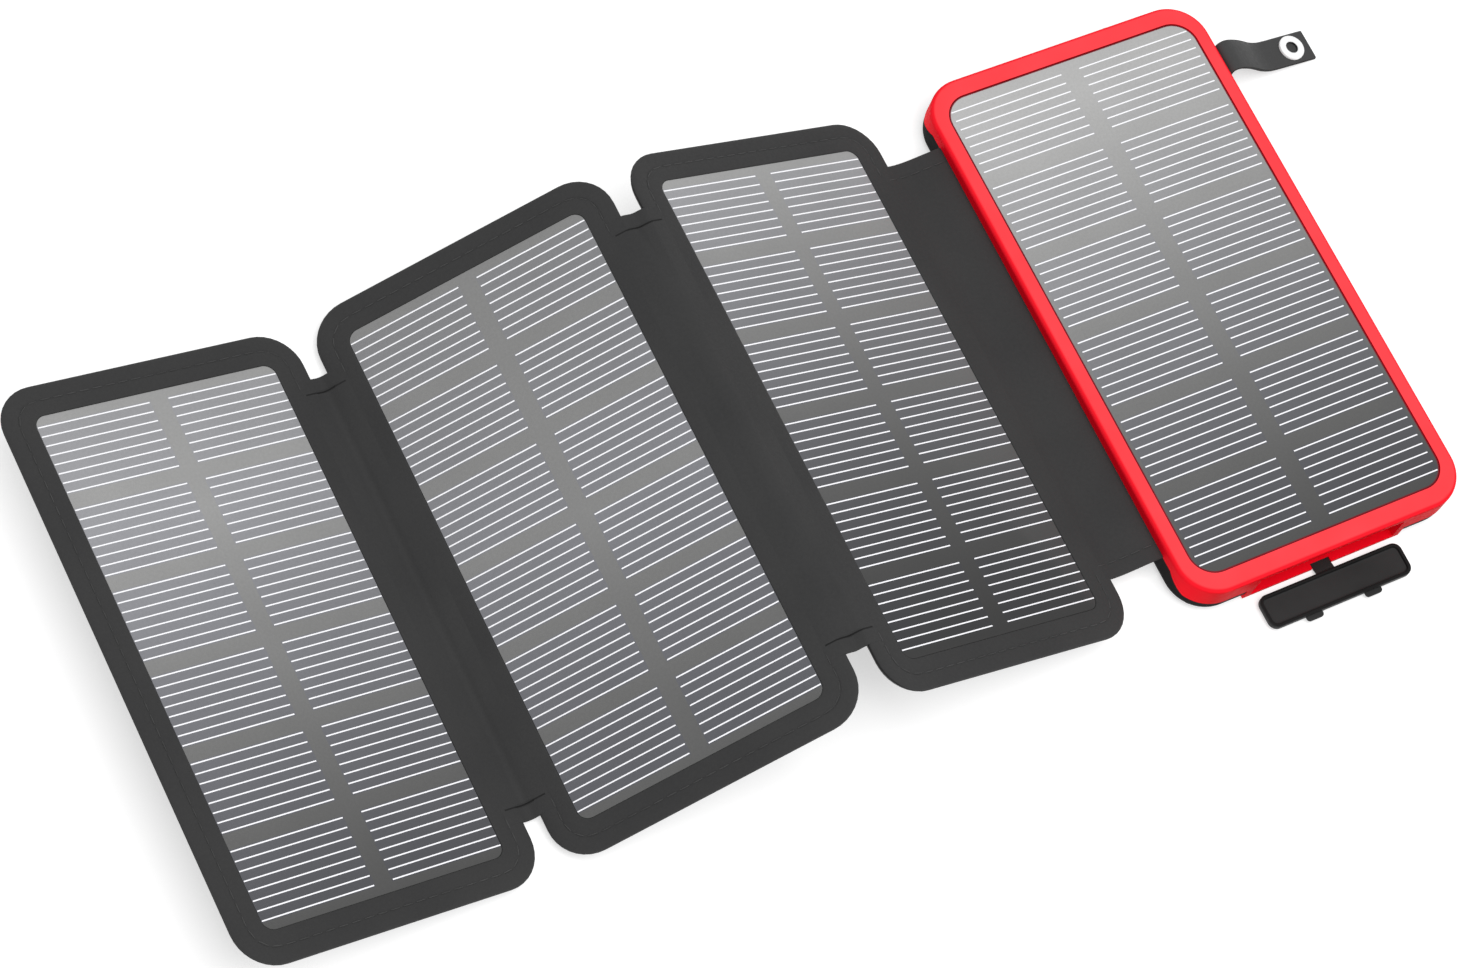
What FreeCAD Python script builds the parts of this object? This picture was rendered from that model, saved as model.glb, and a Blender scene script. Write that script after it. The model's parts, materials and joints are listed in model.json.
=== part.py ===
import FreeCAD, Part
import math
import os

# Folding solar phone charger: a power bank with a solar face and a red bumper frame, and three
# fold-out solar panels in a leather cover that hinges on its left side.
# Millimetres. The origin is the middle of the power bank's underside. +X points to the strap side,
# +Y to the torch end, +Z up out of the solar face. Panel 3 is next to the power bank.

# ---- power bank ----
BODY_W = 84.6
BODY_L = 155.0
BODY_H = 13.0
BODY_R = 11.0
TOP_EDGE_R = 1.4
BELLY_R = 3.4
WALL = 2.0
SHELL_INSET = 0.2
SHELL_WALL = 1.6
FLOOR = 1.4
SEAM_END_Z = 5.2
SEAM_SIDE_Z = 8.7
SEAM_SIDE_HALF = 66.0
SEAM_RAMP = 6.0
SEAM_GAP = 0.05

# ---- solar face of the power bank ----
FACE_W = 76.2
FACE_L = 144.5
FACE_R = 7.0
FACE_DEPTH = 1.7
SHELF_W = 2.1
SHELF_T = 1.0
FACE_GAP = 0.15
CELL_T = 0.15
COVER_T = 0.3
FACE_RECESS = 0.2

# ---- solar cells: two columns of six ----
CELL_COLUMNS = 2
CELL_ROWS = 6
CELL_GAP_MAIN = 1.6
CELL_GAP_FOLD = 1.4
CELL_EDGE_MAIN = 2.0
CELL_EDGE_FOLD = 0.5

# ---- port bay in the near end ----
BAY_HALF = 21.9
BAY_BLOCK_HALF = 24.0
BAY_LOW = 1.3
BAY_HIGH = 10.7
BAY_DEPTH = 2.3
BAY_BACK_T = 1.2
BAY_SILL = 0.3
USB_X = 14.2
USB_W = 13.2
USB_H = 5.7
USB_L = 14.0
USB_SHEET = 0.35
USB_BACK_T = 1.5
USB_TONGUE_T = 1.8
USB_TONGUE_W = 11.1
USB_TONGUE_DROP = 0.4
USB_TONGUE_SET_BACK = 1.2
CONTACT_PITCH = 2.4
CONTACT_W = 1.0
CONTACT_T = 0.12
MICRO_W = 7.5
MICRO_H = 2.7
MICRO_L = 5.6
MICRO_SHEET = 0.25
MICRO_CHAMFER = 0.8
MICRO_TONGUE_W = 3.8
MICRO_TONGUE_T = 0.7
PORT_GAP = 0.1

# ---- port cover, lying open on its stalk ----
LID_W = 43.4
LID_H = 9.3
LID_T = 1.2
LID_R = 2.0
LID_RIM_T = 1.0
LID_RIM_H = 0.8
LID_PIVOT_Y = -78.25
LID_EDGE_Y = -79.4
LID_LOW_Z = 1.0
LID_TAB_X = 9.0
LID_TAB_W = 5.0
LID_TAB_L = 1.3
LID_TAB_T = 0.8
STALK_W = 5.4
STALK_T = 0.9
STALK_ROOT = 4.0

# ---- inside the power bank ----
CIRCUIT_W = 70.0
CIRCUIT_L = 27.0
CIRCUIT_T = 1.0
CIRCUIT_Z = 1.95
CIRCUIT_NEAR_Y = -73.8
PACK_W = 72.0
PACK_L = 53.0
PACK_T = 8.0
PACK_GAP = 2.0
PACK_FAR_Y = 66.0
PACK_R = 2.5
PACK_EDGE_R = 1.2
FOAM_T = 0.7
FOAM_INSET = 2.0
CHIP_W = 8.0
CHIP_T = 1.1
COIL_W = 9.0
COIL_H = 4.2
COIL_X = 20.0
CAN_R = 2.6
CAN_H = 4.6
CAN_X = (-25.0, -18.0)
PART_SET_BACK = 7.0
LEAD_X = 14.0
LEAD_R = 0.7
TAB_W = 4.0
TAB_T = 0.2
POST_X = 36.4
POST_Y = 71.4
POST_R = 2.8
POST_TOP = 5.15
SCREW_R = 0.85
SCREW_HOLE_R = 1.2
SCREW_HEAD_R = 2.0
SCREW_HEAD_T = 1.0
SCREW_HEAD_Z = 0.2
SCREW_TIP_Z = 9.6
CROSS_W = 0.5
CROSS_L = 2.4
CROSS_DEPTH = 0.5
STANDOFF_R = 1.5
STANDOFF_INSET = 4.0

# ---- torch end ----
END_Z = 8.6
BUTTON_X = -16.0
BUTTON_R = 2.9
BUTTON_PROUD = 0.15
BUTTON_FLANGE_R = 3.7
BUTTON_FLANGE_T = 0.6
BUTTON_STEM_R = 1.2
BUTTON_GAP = 0.1
BUTTON_TRAVEL = 0.4
BUTTON_EDGE_R = 0.35
SWITCH_BODY_W = 4.4
SWITCH_BODY_H = 3.2
SWITCH_BODY_L = 1.2
PLUNGER_R = 0.9
PLUNGER_L = 0.4
LIGHT_FIRST_X = -7.0
LIGHT_PITCH = 4.0
LIGHT_R = 0.8
TORCH_X = 16.0
TORCH_R = 2.9
LENS_DEPTH = 0.6
END_BOARD_HALF = 22.0
END_BOARD_H = 6.4
END_BOARD_T = 0.8
END_BOARD_Y = 70.6
LEAD_LOW_Z = 5.4
LEAD_W = 2.6
LEAD_T = 0.5

# ---- fold-out panels ----
PANEL_W = 82.0
PANEL_L = 153.5
PANEL_R = 10.5
PANEL_T = 3.0
WINDOW_W = 65.6
WINDOW_L = 137.0
WINDOW_R = 3.0
FRONT_T = 0.6
BACK_T = 0.7
PANEL_RIM = 1.0
PANEL_BOARD_W = 70.0
PANEL_BOARD_L = 141.4
PANEL_BOARD_T = 1.0
PANEL_GAP = 0.1
RIBBON_W = 8.0
RIBBON_T = 0.3
TILT = {3: 20.0, 2: -24.0, 1: 15.4}
PANEL_3_EDGE_X = -57.6
PANEL_3_EDGE_Z = 8.76

# ---- leather gussets between the panels ----
GUSSET_HALF = 62.0
GUSSET_T = 1.0
GUSSET_SPLIT = 0.15
GUSSET_A_CLAMP_X = -39.6
GUSSET_B_FLAT = 4.4
GUSSET_B_PIVOT_Z = -3.25
GUSSET_B_MID_Z = -2.3
GUSSET_C_FLAT = 4.2
GUSSET_C_PIVOT_Z = 0.3
GUSSET_C_MID_Z = -1.5
GUSSET_A_MID_Z = -1.5
FOLDED_FACE_Z = 13.5

# ---- closing strap and snap ----
STRAP_Y = 58.0
STRAP_W = 9.0
STRAP_T = 1.2
STRAP_CLAMP_X = 38.2
STRAP_RISE_X = 42.8
STRAP_ROOT_X = 46.2
STRAP_ROOT_Z = 11.4
STRAP_INNER_L = 14.3
STRAP_INNER_TILT = 35.0
STRAP_OUTER_L = 16.3
STRAP_OUTER_TILT = 8.5
STRAP_JOINT_GAP = 0.85
SNAP_FROM_TIP = 6.2
SNAP_R = 3.7
SNAP_HOLE_R = 1.6
SNAP_T = 1.0
SNAP_CAP_R = 3.2
SNAP_CAP_T = 0.6
STUD_X = -36.8
STUD_FLANGE_R = 2.6
STUD_FLANGE_T = 0.25
STUD_KNOB_R = 1.4
STUD_KNOB_H = 0.9

V = FreeCAD.Vector
SMALL = 1e-6
SEAM_SLOT = GUSSET_T / 2 + SEAM_GAP
SOCKET_MOUTH_Y = -BODY_L / 2 + BAY_DEPTH + PORT_GAP


# ---- shapes ----
def box(x0, x1, y0, y1, z0, z1):
    """A block between two opposite corners."""
    return Part.makeBox(x1 - x0, y1 - y0, z1 - z0, V(x0, y0, z0))


def plate(width, length, radius, z0, z1, x=0.0, y=0.0):
    """A plate with round corners, lying flat, centred on x, y."""
    a = width / 2 - radius
    b = length / 2 - radius
    edges = []
    corners = [(a, b, 0), (-a, b, 90), (-a, -b, 180), (a, -b, 270)]
    ends = []
    for cx, cy, start in corners:
        points = []
        for turn in (0, 45, 90):
            t = math.radians(start + turn)
            points.append(V(x + cx + radius * math.cos(t), y + cy + radius * math.sin(t), z0))
        edges.append(Part.Arc(*points).toShape())
        ends.append((points[0], points[2]))
    for k in range(4):
        edges.append(Part.makeLine(ends[k][1], ends[(k + 1) % 4][0]))
    wire = Part.Wire(Part.__sortEdges__(edges))
    return Part.Face(wire).extrude(V(0, 0, z1 - z0))


def prism(points, y0, y1):
    """A prism along Y from an outline of (x, z) points."""
    corners = [V(x, y0, z) for x, z in points]
    face = Part.Face(Part.makePolygon(corners + corners[:1]))
    return face.extrude(V(0, y1 - y0, 0))


def disc(radius, start, end):
    """A round bar between two points."""
    axis = end - start
    return Part.makeCylinder(radius, axis.Length, start, axis)


def level_edges(shape, z):
    """The edges of a shape that lie in the plane at height z."""
    found = []
    for edge in shape.Edges:
        bounds = edge.BoundBox
        if abs(bounds.ZMin - z) < SMALL and abs(bounds.ZMax - z) < SMALL:
            found.append(edge)
    return found


def save(node, *solids):
    """Writes one sub-part, which may be several separate solids."""
    shape = solids[0] if len(solids) == 1 else Part.makeCompound(list(solids))
    shape.exportStep("parts/" + node + ".step")


# ---- where the fold-out panels lie ----
def along(tilt):
    """Unit step across a tilted panel, from its right edge to its left edge, in X and Z."""
    t = math.radians(tilt)
    return V(-math.cos(t), 0, math.sin(t))


def facing(tilt):
    """Unit normal out of a tilted panel's solar face."""
    t = math.radians(tilt)
    return V(math.sin(t), 0, math.cos(t))


def fold(edge, near, far, flat, pivot_z):
    """The next panel's right edge, past a fold whose pivot lies midway across the flat gusset."""
    pivot = edge + along(near) * (flat / 2) + facing(near) * pivot_z
    return pivot, pivot + along(far) * (flat / 2) - facing(far) * pivot_z


def panel_layout():
    """The middle of each panel's solar face, and the pivots of the two outer folds."""
    middle = {}
    right = V(PANEL_3_EDGE_X, 0, PANEL_3_EDGE_Z)
    middle[3] = right + along(TILT[3]) * (PANEL_W / 2)
    left = right + along(TILT[3]) * PANEL_W
    pivot_b, right = fold(left, TILT[3], TILT[2], GUSSET_B_FLAT, GUSSET_B_PIVOT_Z)
    middle[2] = right + along(TILT[2]) * (PANEL_W / 2)
    left = right + along(TILT[2]) * PANEL_W
    pivot_c, right = fold(left, TILT[2], TILT[1], GUSSET_C_FLAT, GUSSET_C_PIVOT_Z)
    middle[1] = right + along(TILT[1]) * (PANEL_W / 2)
    return middle, pivot_b, pivot_c


def pivot_a():
    """The one point about which panel 3 turns from where it leans to face down on the power bank."""
    open_edge = V(PANEL_3_EDGE_X, 0, PANEL_3_EDGE_Z)
    folded_edge = V(-PANEL_W / 2, 0, FOLDED_FACE_Z)
    chord = folded_edge - open_edge
    half_turn = math.radians(180 - TILT[3]) / 2
    below = V(chord.z, 0, -chord.x)
    return (open_edge + folded_edge) * 0.5 + below * (0.5 / math.tan(half_turn))


MIDDLE, PIVOT_B, PIVOT_C = panel_layout()
PIVOT_A = pivot_a()


def on_panel(shape, number):
    """Moves a shape from a panel's own frame, face up at z = 0, to where the panel lies."""
    placed = shape.copy()
    placed.rotate(V(0, 0, 0), V(0, 1, 0), TILT[number])
    placed.translate(MIDDLE[number])
    return placed


def panel_point(number, x, z):
    """A point of a panel's own frame in the part's X and Z."""
    place = MIDDLE[number] - along(TILT[number]) * x + facing(TILT[number]) * z
    return place.x, place.z


# ---- power bank casing ----
def side_seam(x_half, raise_by=0.0):
    """The stretch beside the long walls where the shell stands higher than at the ends."""
    low = SEAM_END_Z
    high = SEAM_SIDE_Z + raise_by
    half = SEAM_SIDE_HALF
    points = [(-half - SEAM_RAMP, low), (half + SEAM_RAMP, low), (half, high), (-half, high)]
    corners = [V(-x_half, y, z) for y, z in points]
    face = Part.Face(Part.makePolygon(corners + corners[:1]))
    return face.extrude(V(2 * x_half, 0, 0))


def corner_points():
    """The four screw positions."""
    return [(sx * POST_X, sy * POST_Y) for sx in (-1, 1) for sy in (-1, 1)]


def seam_slots():
    """Slots in both shells where the leather cover and the strap are clamped."""
    z0 = SEAM_SIDE_Z - SEAM_SLOT
    z1 = SEAM_SIDE_Z + SEAM_SLOT
    half = GUSSET_HALF + SEAM_GAP
    leather = box(-BODY_W / 2 - 1, GUSSET_A_CLAMP_X + SEAM_GAP, -half, half, z0, z1)
    y0 = STRAP_Y - STRAP_W / 2 - SEAM_GAP
    y1 = STRAP_Y + STRAP_W / 2 + SEAM_GAP
    strap_z = STRAP_T / 2 + SEAM_GAP
    inner = STRAP_CLAMP_X - SEAM_GAP
    strap = box(inner, BODY_W / 2 + 1, y0, y1, SEAM_SIDE_Z - strap_z, SEAM_SIDE_Z + strap_z)
    return leather.fuse(strap)


def bottom_shell():
    """Black tray with a rounded belly, open at the port bay, with a boss at each screw."""
    width = BODY_W - 2 * SHELL_INSET
    length = BODY_L - 2 * SHELL_INSET
    radius = BODY_R - SHELL_INSET
    outer = plate(width, length, radius, 0, SEAM_SIDE_Z)
    outer = outer.makeFillet(BELLY_R, level_edges(outer, 0))
    inner_w = width - 2 * SHELL_WALL
    inner_l = length - 2 * SHELL_WALL
    hollow = plate(inner_w, inner_l, radius - SHELL_WALL, FLOOR, SEAM_SIDE_Z + 1)
    hollow = hollow.makeFillet(BELLY_R - SHELL_WALL, level_edges(hollow, FLOOR))
    shell = outer.cut(hollow)
    above = box(-BODY_W, BODY_W, -BODY_L, BODY_L, SEAM_END_Z, BODY_H)
    shell = shell.cut(above.cut(side_seam(BODY_W)))
    for x, y in corner_points():
        shell = shell.fuse(disc(POST_R, V(x, y, FLOOR / 2), V(x, y, POST_TOP)))
    for x, y in corner_points():
        shell = shell.cut(disc(SCREW_HOLE_R, V(x, y, -1), V(x, y, POST_TOP + 1)))
        sink = SCREW_HEAD_Z + SCREW_HEAD_T + SEAM_GAP
        shell = shell.cut(disc(SCREW_HEAD_R + PORT_GAP, V(x, y, -1), V(x, y, sink)))
    near = CIRCUIT_NEAR_Y + STANDOFF_INSET + 2 * POST_R
    far = CIRCUIT_NEAR_Y + CIRCUIT_L - STANDOFF_INSET
    for x in (-CIRCUIT_W / 2 + STANDOFF_INSET, CIRCUIT_W / 2 - STANDOFF_INSET):
        for y in (near, far):
            shell = shell.fuse(disc(STANDOFF_R, V(x, y, FLOOR / 2), V(x, y, CIRCUIT_Z)))
    half = BAY_BLOCK_HALF + SEAM_GAP
    bay_back = -BODY_L / 2 + BAY_DEPTH + BAY_BACK_T + SEAM_GAP
    shell = shell.cut(box(-half, half, -BODY_L, bay_back, -1, BODY_H))
    stalk_half = STALK_W / 2 + PORT_GAP
    stalk = box(-stalk_half, stalk_half, bay_back - 1, bay_back + STALK_ROOT, 0.25, FLOOR + 1)
    shell = shell.cut(stalk)
    return shell.cut(seam_slots()).removeSplitter()


def port_openings():
    """The two wide sockets' and the small socket's apertures through the bay's back wall."""
    y0 = -BODY_L / 2 + BAY_DEPTH - 1
    y1 = y0 + BAY_BACK_T + 2
    z0 = CIRCUIT_Z + CIRCUIT_T
    cuts = []
    for x in (-USB_X, USB_X):
        w = USB_W / 2 + PORT_GAP
        cuts.append(box(x - w, x + w, y0, y1, z0 - PORT_GAP, z0 + USB_H + PORT_GAP))
    w = MICRO_W / 2 + PORT_GAP
    cuts.append(box(-w, w, y0, y1, z0 - PORT_GAP, z0 + MICRO_H + PORT_GAP))
    return cuts


def bumper_frame(shell):
    """Red frame: holds the solar face, wraps the ends lower than the sides, and forms the port bay."""
    outer = plate(BODY_W, BODY_L, BODY_R, SEAM_END_Z, BODY_H)
    frame = outer.makeFillet(TOP_EDGE_R, level_edges(outer, BODY_H))
    face_floor = BODY_H - FACE_DEPTH
    frame = frame.cut(plate(FACE_W, FACE_L, FACE_R, face_floor, BODY_H + 1))
    through_w = FACE_W - 2 * SHELF_W
    through_l = FACE_L - 2 * SHELF_W
    frame = frame.cut(plate(through_w, through_l, FACE_R - SHELF_W, 0, BODY_H))
    cavity_top = face_floor - SHELF_T
    cavity = plate(BODY_W - 2 * WALL, BODY_L - 2 * WALL, BODY_R - WALL, 0, cavity_top)
    frame = frame.cut(cavity)
    for x, y in corner_points():
        frame = frame.fuse(disc(POST_R, V(x, y, POST_TOP + SEAM_GAP), V(x, y, cavity_top + 0.2)))
        frame = frame.cut(disc(SCREW_R + 0.05, V(x, y, 0), V(x, y, cavity_top)))
    near = -BODY_L / 2
    bay_back = near + BAY_DEPTH
    half = BAY_BLOCK_HALF
    block = box(-half, half, near, bay_back + BAY_BACK_T, BAY_SILL, cavity_top)
    frame = frame.cut(side_seam(BODY_W, SEAM_GAP))
    frame = frame.fuse(block)
    bay = box(-BAY_HALF, BAY_HALF, near - 1, bay_back, BAY_LOW, BAY_HIGH)
    frame = frame.cut(bay)
    for x in (-LID_TAB_X, LID_TAB_X):
        w = LID_TAB_W / 2 + 0.2
        y0 = near + LID_T - LID_TAB_T - 0.1
        pocket = box(x - w, x + w, y0, bay_back, BAY_HIGH - 1, BAY_HIGH + LID_TAB_L + 0.2)
        frame = frame.cut(pocket)
    for opening in port_openings():
        frame = frame.cut(opening)
    notch = box(-STALK_W / 2 - 0.2, STALK_W / 2 + 0.2, near - 1, near + LID_T + 0.2, 0, BAY_LOW + 1)
    frame = frame.cut(notch)
    slot = box(-STALK_W / 2 - 0.1, STALK_W / 2 + 0.1, near, bay_back + 3, 0, BAY_LOW - 0.05)
    frame = frame.cut(slot)
    far = BODY_L / 2
    holes = [(BUTTON_X, BUTTON_R + BUTTON_GAP), (TORCH_X, TORCH_R + 0.05)]
    for k in range(4):
        holes.append((LIGHT_FIRST_X + LIGHT_PITCH * k, LIGHT_R + 0.05))
    for x, radius in holes:
        frame = frame.cut(disc(radius, V(x, far - WALL - 1, END_Z), V(x, far + 1, END_Z)))
    frame = frame.cut(seam_slots())
    return frame.cut(shell).removeSplitter()


def corner_screws():
    """Four screws from below, each with a cross recess in its head."""
    screws = []
    depth = SCREW_HEAD_Z + CROSS_DEPTH
    for x, y in corner_points():
        head = disc(SCREW_HEAD_R, V(x, y, SCREW_HEAD_Z), V(x, y, SCREW_HEAD_Z + SCREW_HEAD_T))
        shank = disc(SCREW_R, V(x, y, SCREW_HEAD_Z + SCREW_HEAD_T / 2), V(x, y, SCREW_TIP_Z))
        screw = head.fuse(shank)
        for w, length in ((CROSS_W / 2, CROSS_L / 2), (CROSS_L / 2, CROSS_W / 2)):
            screw = screw.cut(box(x - w, x + w, y - length, y + length, 0, depth))
        screws.append(screw)
    return screws


# ---- solar faces ----
def cell_tiles(width, length, radius, gap, z0, z1):
    """Two columns of six thin cells that fill the given area, with a gap between them."""
    tiles = []
    area = plate(width, length, radius, z0, z1)
    step_x = (width + gap) / CELL_COLUMNS - gap
    step_y = (length + gap) / CELL_ROWS
    for column in range(CELL_COLUMNS):
        x0 = -width / 2 + column * (step_x + gap)
        for row in range(CELL_ROWS):
            y0 = -length / 2 + row * step_y
            tile = box(x0, x0 + step_x, y0, y0 + step_y - gap, z0, z1)
            tiles.append(tile.common(area))
    return tiles


def main_face():
    """Board, cells and clear cover of the power bank's own solar face."""
    w = FACE_W - 2 * FACE_GAP
    length = FACE_L - 2 * FACE_GAP
    r = FACE_R - FACE_GAP
    top = BODY_H - FACE_RECESS
    cells_top = top - COVER_T
    board_top = cells_top - CELL_T
    save("main_solar_cover", plate(w, length, r, cells_top, top))
    edge = 2 * CELL_EDGE_MAIN
    radius = r - CELL_EDGE_MAIN
    tiles = cell_tiles(w - edge, length - edge, radius, CELL_GAP_MAIN, board_top, cells_top)
    save("main_solar_cells", *tiles)
    save("main_solar_board", plate(w, length, r, BODY_H - FACE_DEPTH, board_top))


# ---- ports ----
def usb_a_socket(side, x):
    """A wide socket: folded sheet shell, open at the mouth, with a contact tongue in its upper half."""
    z0 = CIRCUIT_Z + CIRCUIT_T
    y0 = SOCKET_MOUTH_Y
    back = y0 + USB_L - USB_BACK_T
    half = USB_W / 2
    outer = box(x - half, x + half, y0, y0 + USB_L, z0, z0 + USB_H)
    s = USB_SHEET
    inner = box(x - half + s, x + half - s, y0 - 1, back, z0 + s, z0 + USB_H - s)
    save("usb_a_shell_" + side, outer.cut(inner))
    top = z0 + USB_H - s - USB_TONGUE_DROP
    low = top - USB_TONGUE_T
    half = USB_TONGUE_W / 2
    tip = y0 + USB_TONGUE_SET_BACK
    tongue = box(x - half, x + half, tip, back, low, top)
    contacts = []
    for k in range(4):
        x0 = x + (k - 1.5) * CONTACT_PITCH - CONTACT_W / 2
        contacts.append(box(x0, x0 + CONTACT_W, tip + 0.8, back - 0.5, low - CONTACT_T, low))
    return tongue, contacts


def micro_usb_outline(half, z0, z1, y0, y1):
    """A block with its two lower long edges cut off at 45 degrees."""
    c = MICRO_CHAMFER
    points = [(-half + c, z0), (half - c, z0), (half, z0 + c), (half, z1), (-half, z1), (-half, z0 + c)]
    return prism(points, y0, y1)


def micro_usb_socket():
    """The small charging input between the two wide sockets."""
    z0 = CIRCUIT_Z + CIRCUIT_T
    z1 = z0 + MICRO_H
    y0 = SOCKET_MOUTH_Y
    s = MICRO_SHEET
    outer = micro_usb_outline(MICRO_W / 2, z0, z1, y0, y0 + MICRO_L)
    inner = micro_usb_outline(MICRO_W / 2 - s, z0 + s, z1 - s, y0 - 1, y0 + MICRO_L - 1)
    save("micro_usb_shell", outer.cut(inner))
    top = z1 - s - 0.3
    half = MICRO_TONGUE_W / 2
    return box(-half, half, y0 + 0.8, y0 + MICRO_L - 1, top - MICRO_TONGUE_T, top)


def sockets():
    """The three sockets, their plastic tongues, and the spring contacts of the two wide ones."""
    tongues = [micro_usb_socket()]
    contacts = []
    for side, x in (("left", -USB_X), ("right", USB_X)):
        tongue, blades = usb_a_socket(side, x)
        tongues.append(tongue)
        contacts.extend(blades)
    save("socket_tongues", *tongues)
    save("usb_a_contacts", *contacts)


def port_cover():
    """Rubber cover lying open, inner side up: a tray with a raised rim, two tabs and its stalk."""
    y0 = LID_EDGE_Y - LID_H
    mid_y = LID_EDGE_Y - LID_H / 2
    z1 = LID_LOW_Z + LID_T
    lid = plate(LID_W, LID_H, LID_R, LID_LOW_Z, z1 + LID_RIM_H, 0, mid_y)
    inner_w = LID_W - 2 * LID_RIM_T
    inner_h = LID_H - 2 * LID_RIM_T
    lid = lid.cut(plate(inner_w, inner_h, LID_R - LID_RIM_T, z1, z1 + 2, 0, mid_y))
    for x in (-LID_TAB_X, LID_TAB_X):
        half = LID_TAB_W / 2
        tab = box(x - half, x + half, y0 - LID_TAB_L, y0 + 1.5, z1 - LID_TAB_T, z1)
        lid = lid.fuse(tab)
    half = STALK_W / 2
    stalk = box(-half, half, LID_EDGE_Y, LID_PIVOT_Y - 0.1, LID_LOW_Z, LID_LOW_Z + STALK_T)
    save("port_cover", lid.fuse(stalk).removeSplitter())
    root_y = -BODY_L / 2 + BAY_DEPTH + BAY_BACK_T
    start_y = -BODY_L / 2 + LID_T + 0.15
    anchor = box(-half, half, start_y, root_y + STALK_ROOT - 0.6, BAY_SILL, BAY_LOW - 0.15)
    save("port_cover_anchor", anchor)


# ---- electronics ----
def circuit():
    """Main circuit board behind the ports, with its chips, coil and capacitors."""
    half = CIRCUIT_W / 2
    y0 = CIRCUIT_NEAR_Y
    y1 = y0 + CIRCUIT_L
    top = CIRCUIT_Z + CIRCUIT_T
    board = box(-half, half, y0, y1, CIRCUIT_Z, top)
    for x, y in corner_points():
        board = board.cut(disc(POST_R + 0.3, V(x, y, 0), V(x, y, BODY_H)))
    save("circuit_board", board)
    y = y1 - PART_SET_BACK
    half = CHIP_W / 2
    save("control_chip", box(-half, half, y - half, y + half, top, top + CHIP_T))
    save("power_coil", plate(COIL_W, COIL_W, COIL_W / 6, top, top + COIL_H, COIL_X, y))
    cans = [disc(CAN_R, V(x, y, top), V(x, y, top + CAN_H)) for x in CAN_X]
    save("capacitors", *cans)


def battery():
    """Two flat pouch cells in line, foam above them, and the tabs and leads to the circuit board."""
    z0 = FLOOR + 0.1
    z1 = z0 + PACK_T
    for k in range(2):
        y1 = PACK_FAR_Y - k * (PACK_L + PACK_GAP)
        pouch = plate(PACK_W, PACK_L, PACK_R, z0, z1, 0, y1 - PACK_L / 2)
        save("battery_cell_" + str(k + 1), pouch.makeFillet(PACK_EDGE_R, level_edges(pouch, z1)))
    length = 2 * PACK_L + PACK_GAP
    near = PACK_FAR_Y - length
    z2 = z1 + SEAM_GAP
    foam_w = PACK_W - 2 * FOAM_INSET
    foam_l = length - 2 * FOAM_INSET
    save("foam_pad", plate(foam_w, foam_l, PACK_R, z2, z2 + FOAM_T, 0, near + length / 2))
    leads = []
    board_edge = CIRCUIT_NEAR_Y + CIRCUIT_L
    z = CIRCUIT_Z + CIRCUIT_T
    tab_z = z + 3 * LEAD_R
    half = TAB_W / 2
    for x in (-LEAD_X, LEAD_X):
        leads.append(box(x - half, x + half, near - 1.6, near, tab_z - TAB_T / 2, tab_z + TAB_T / 2))
        leads.append(disc(LEAD_R, V(x, board_edge - 3, z + LEAD_R), V(x, near - 1.7, tab_z)))
    save("battery_leads", *leads)


def power_button(flange_y, switch_tip, ceiling):
    """Round button: cap in the wall, flange behind it, and a stem that stops short of the switch."""
    far = BODY_L / 2
    centre = V(BUTTON_X, 0, END_Z)
    face_y = far + BUTTON_PROUD
    cap = disc(BUTTON_R, centre + V(0, flange_y - SEAM_GAP, 0), centre + V(0, face_y, 0))
    rim = [edge for edge in cap.Edges if edge.BoundBox.YMin > face_y - SMALL]
    cap = cap.makeFillet(BUTTON_EDGE_R, rim)
    back_y = flange_y - BUTTON_FLANGE_T
    flange = disc(BUTTON_FLANGE_R, centre + V(0, back_y, 0), centre + V(0, flange_y, 0))
    x0 = BUTTON_X - BUTTON_FLANGE_R
    x1 = BUTTON_X + BUTTON_FLANGE_R
    low = END_Z - BUTTON_FLANGE_R
    flange = flange.cut(box(x0, x1, 0, far, ceiling - SEAM_GAP, BODY_H))
    flange = flange.cut(box(x0, x1, 0, far, low - 1, low + 0.3))
    stem_y = switch_tip + BUTTON_TRAVEL + BUTTON_GAP
    stem = disc(BUTTON_STEM_R, centre + V(0, stem_y, 0), centre + V(0, flange_y, 0))
    save("power_button", cap.fuse(flange).fuse(stem).removeSplitter())


def end_ribbon(half, board_y):
    """Flat lead on edge beside the cells, from the circuit board to the end board."""
    x0 = PACK_W / 2 + 1.2
    x1 = x0 + LEAD_T
    near = CIRCUIT_NEAR_Y + CIRCUIT_L - 2.5
    far = board_y - 4.5
    low = LEAD_LOW_Z
    high = LEAD_LOW_Z + LEAD_W
    edge = CIRCUIT_W / 2 - 2
    run = box(x0, x1, near, far + LEAD_T, low, high)
    near_end = box(edge, x1, near, near + LEAD_T, low, high)
    drop = box(edge, edge + 1, near, near + LEAD_T, CIRCUIT_Z + CIRCUIT_T, high)
    far_end = box(half - 1.5, x1, far, far + LEAD_T, low, high)
    tail = box(half - 1.5, half - 1.0, far, board_y, low, high)
    save("end_ribbon", run.fuse([near_end, drop, far_end, tail]).removeSplitter())


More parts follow.
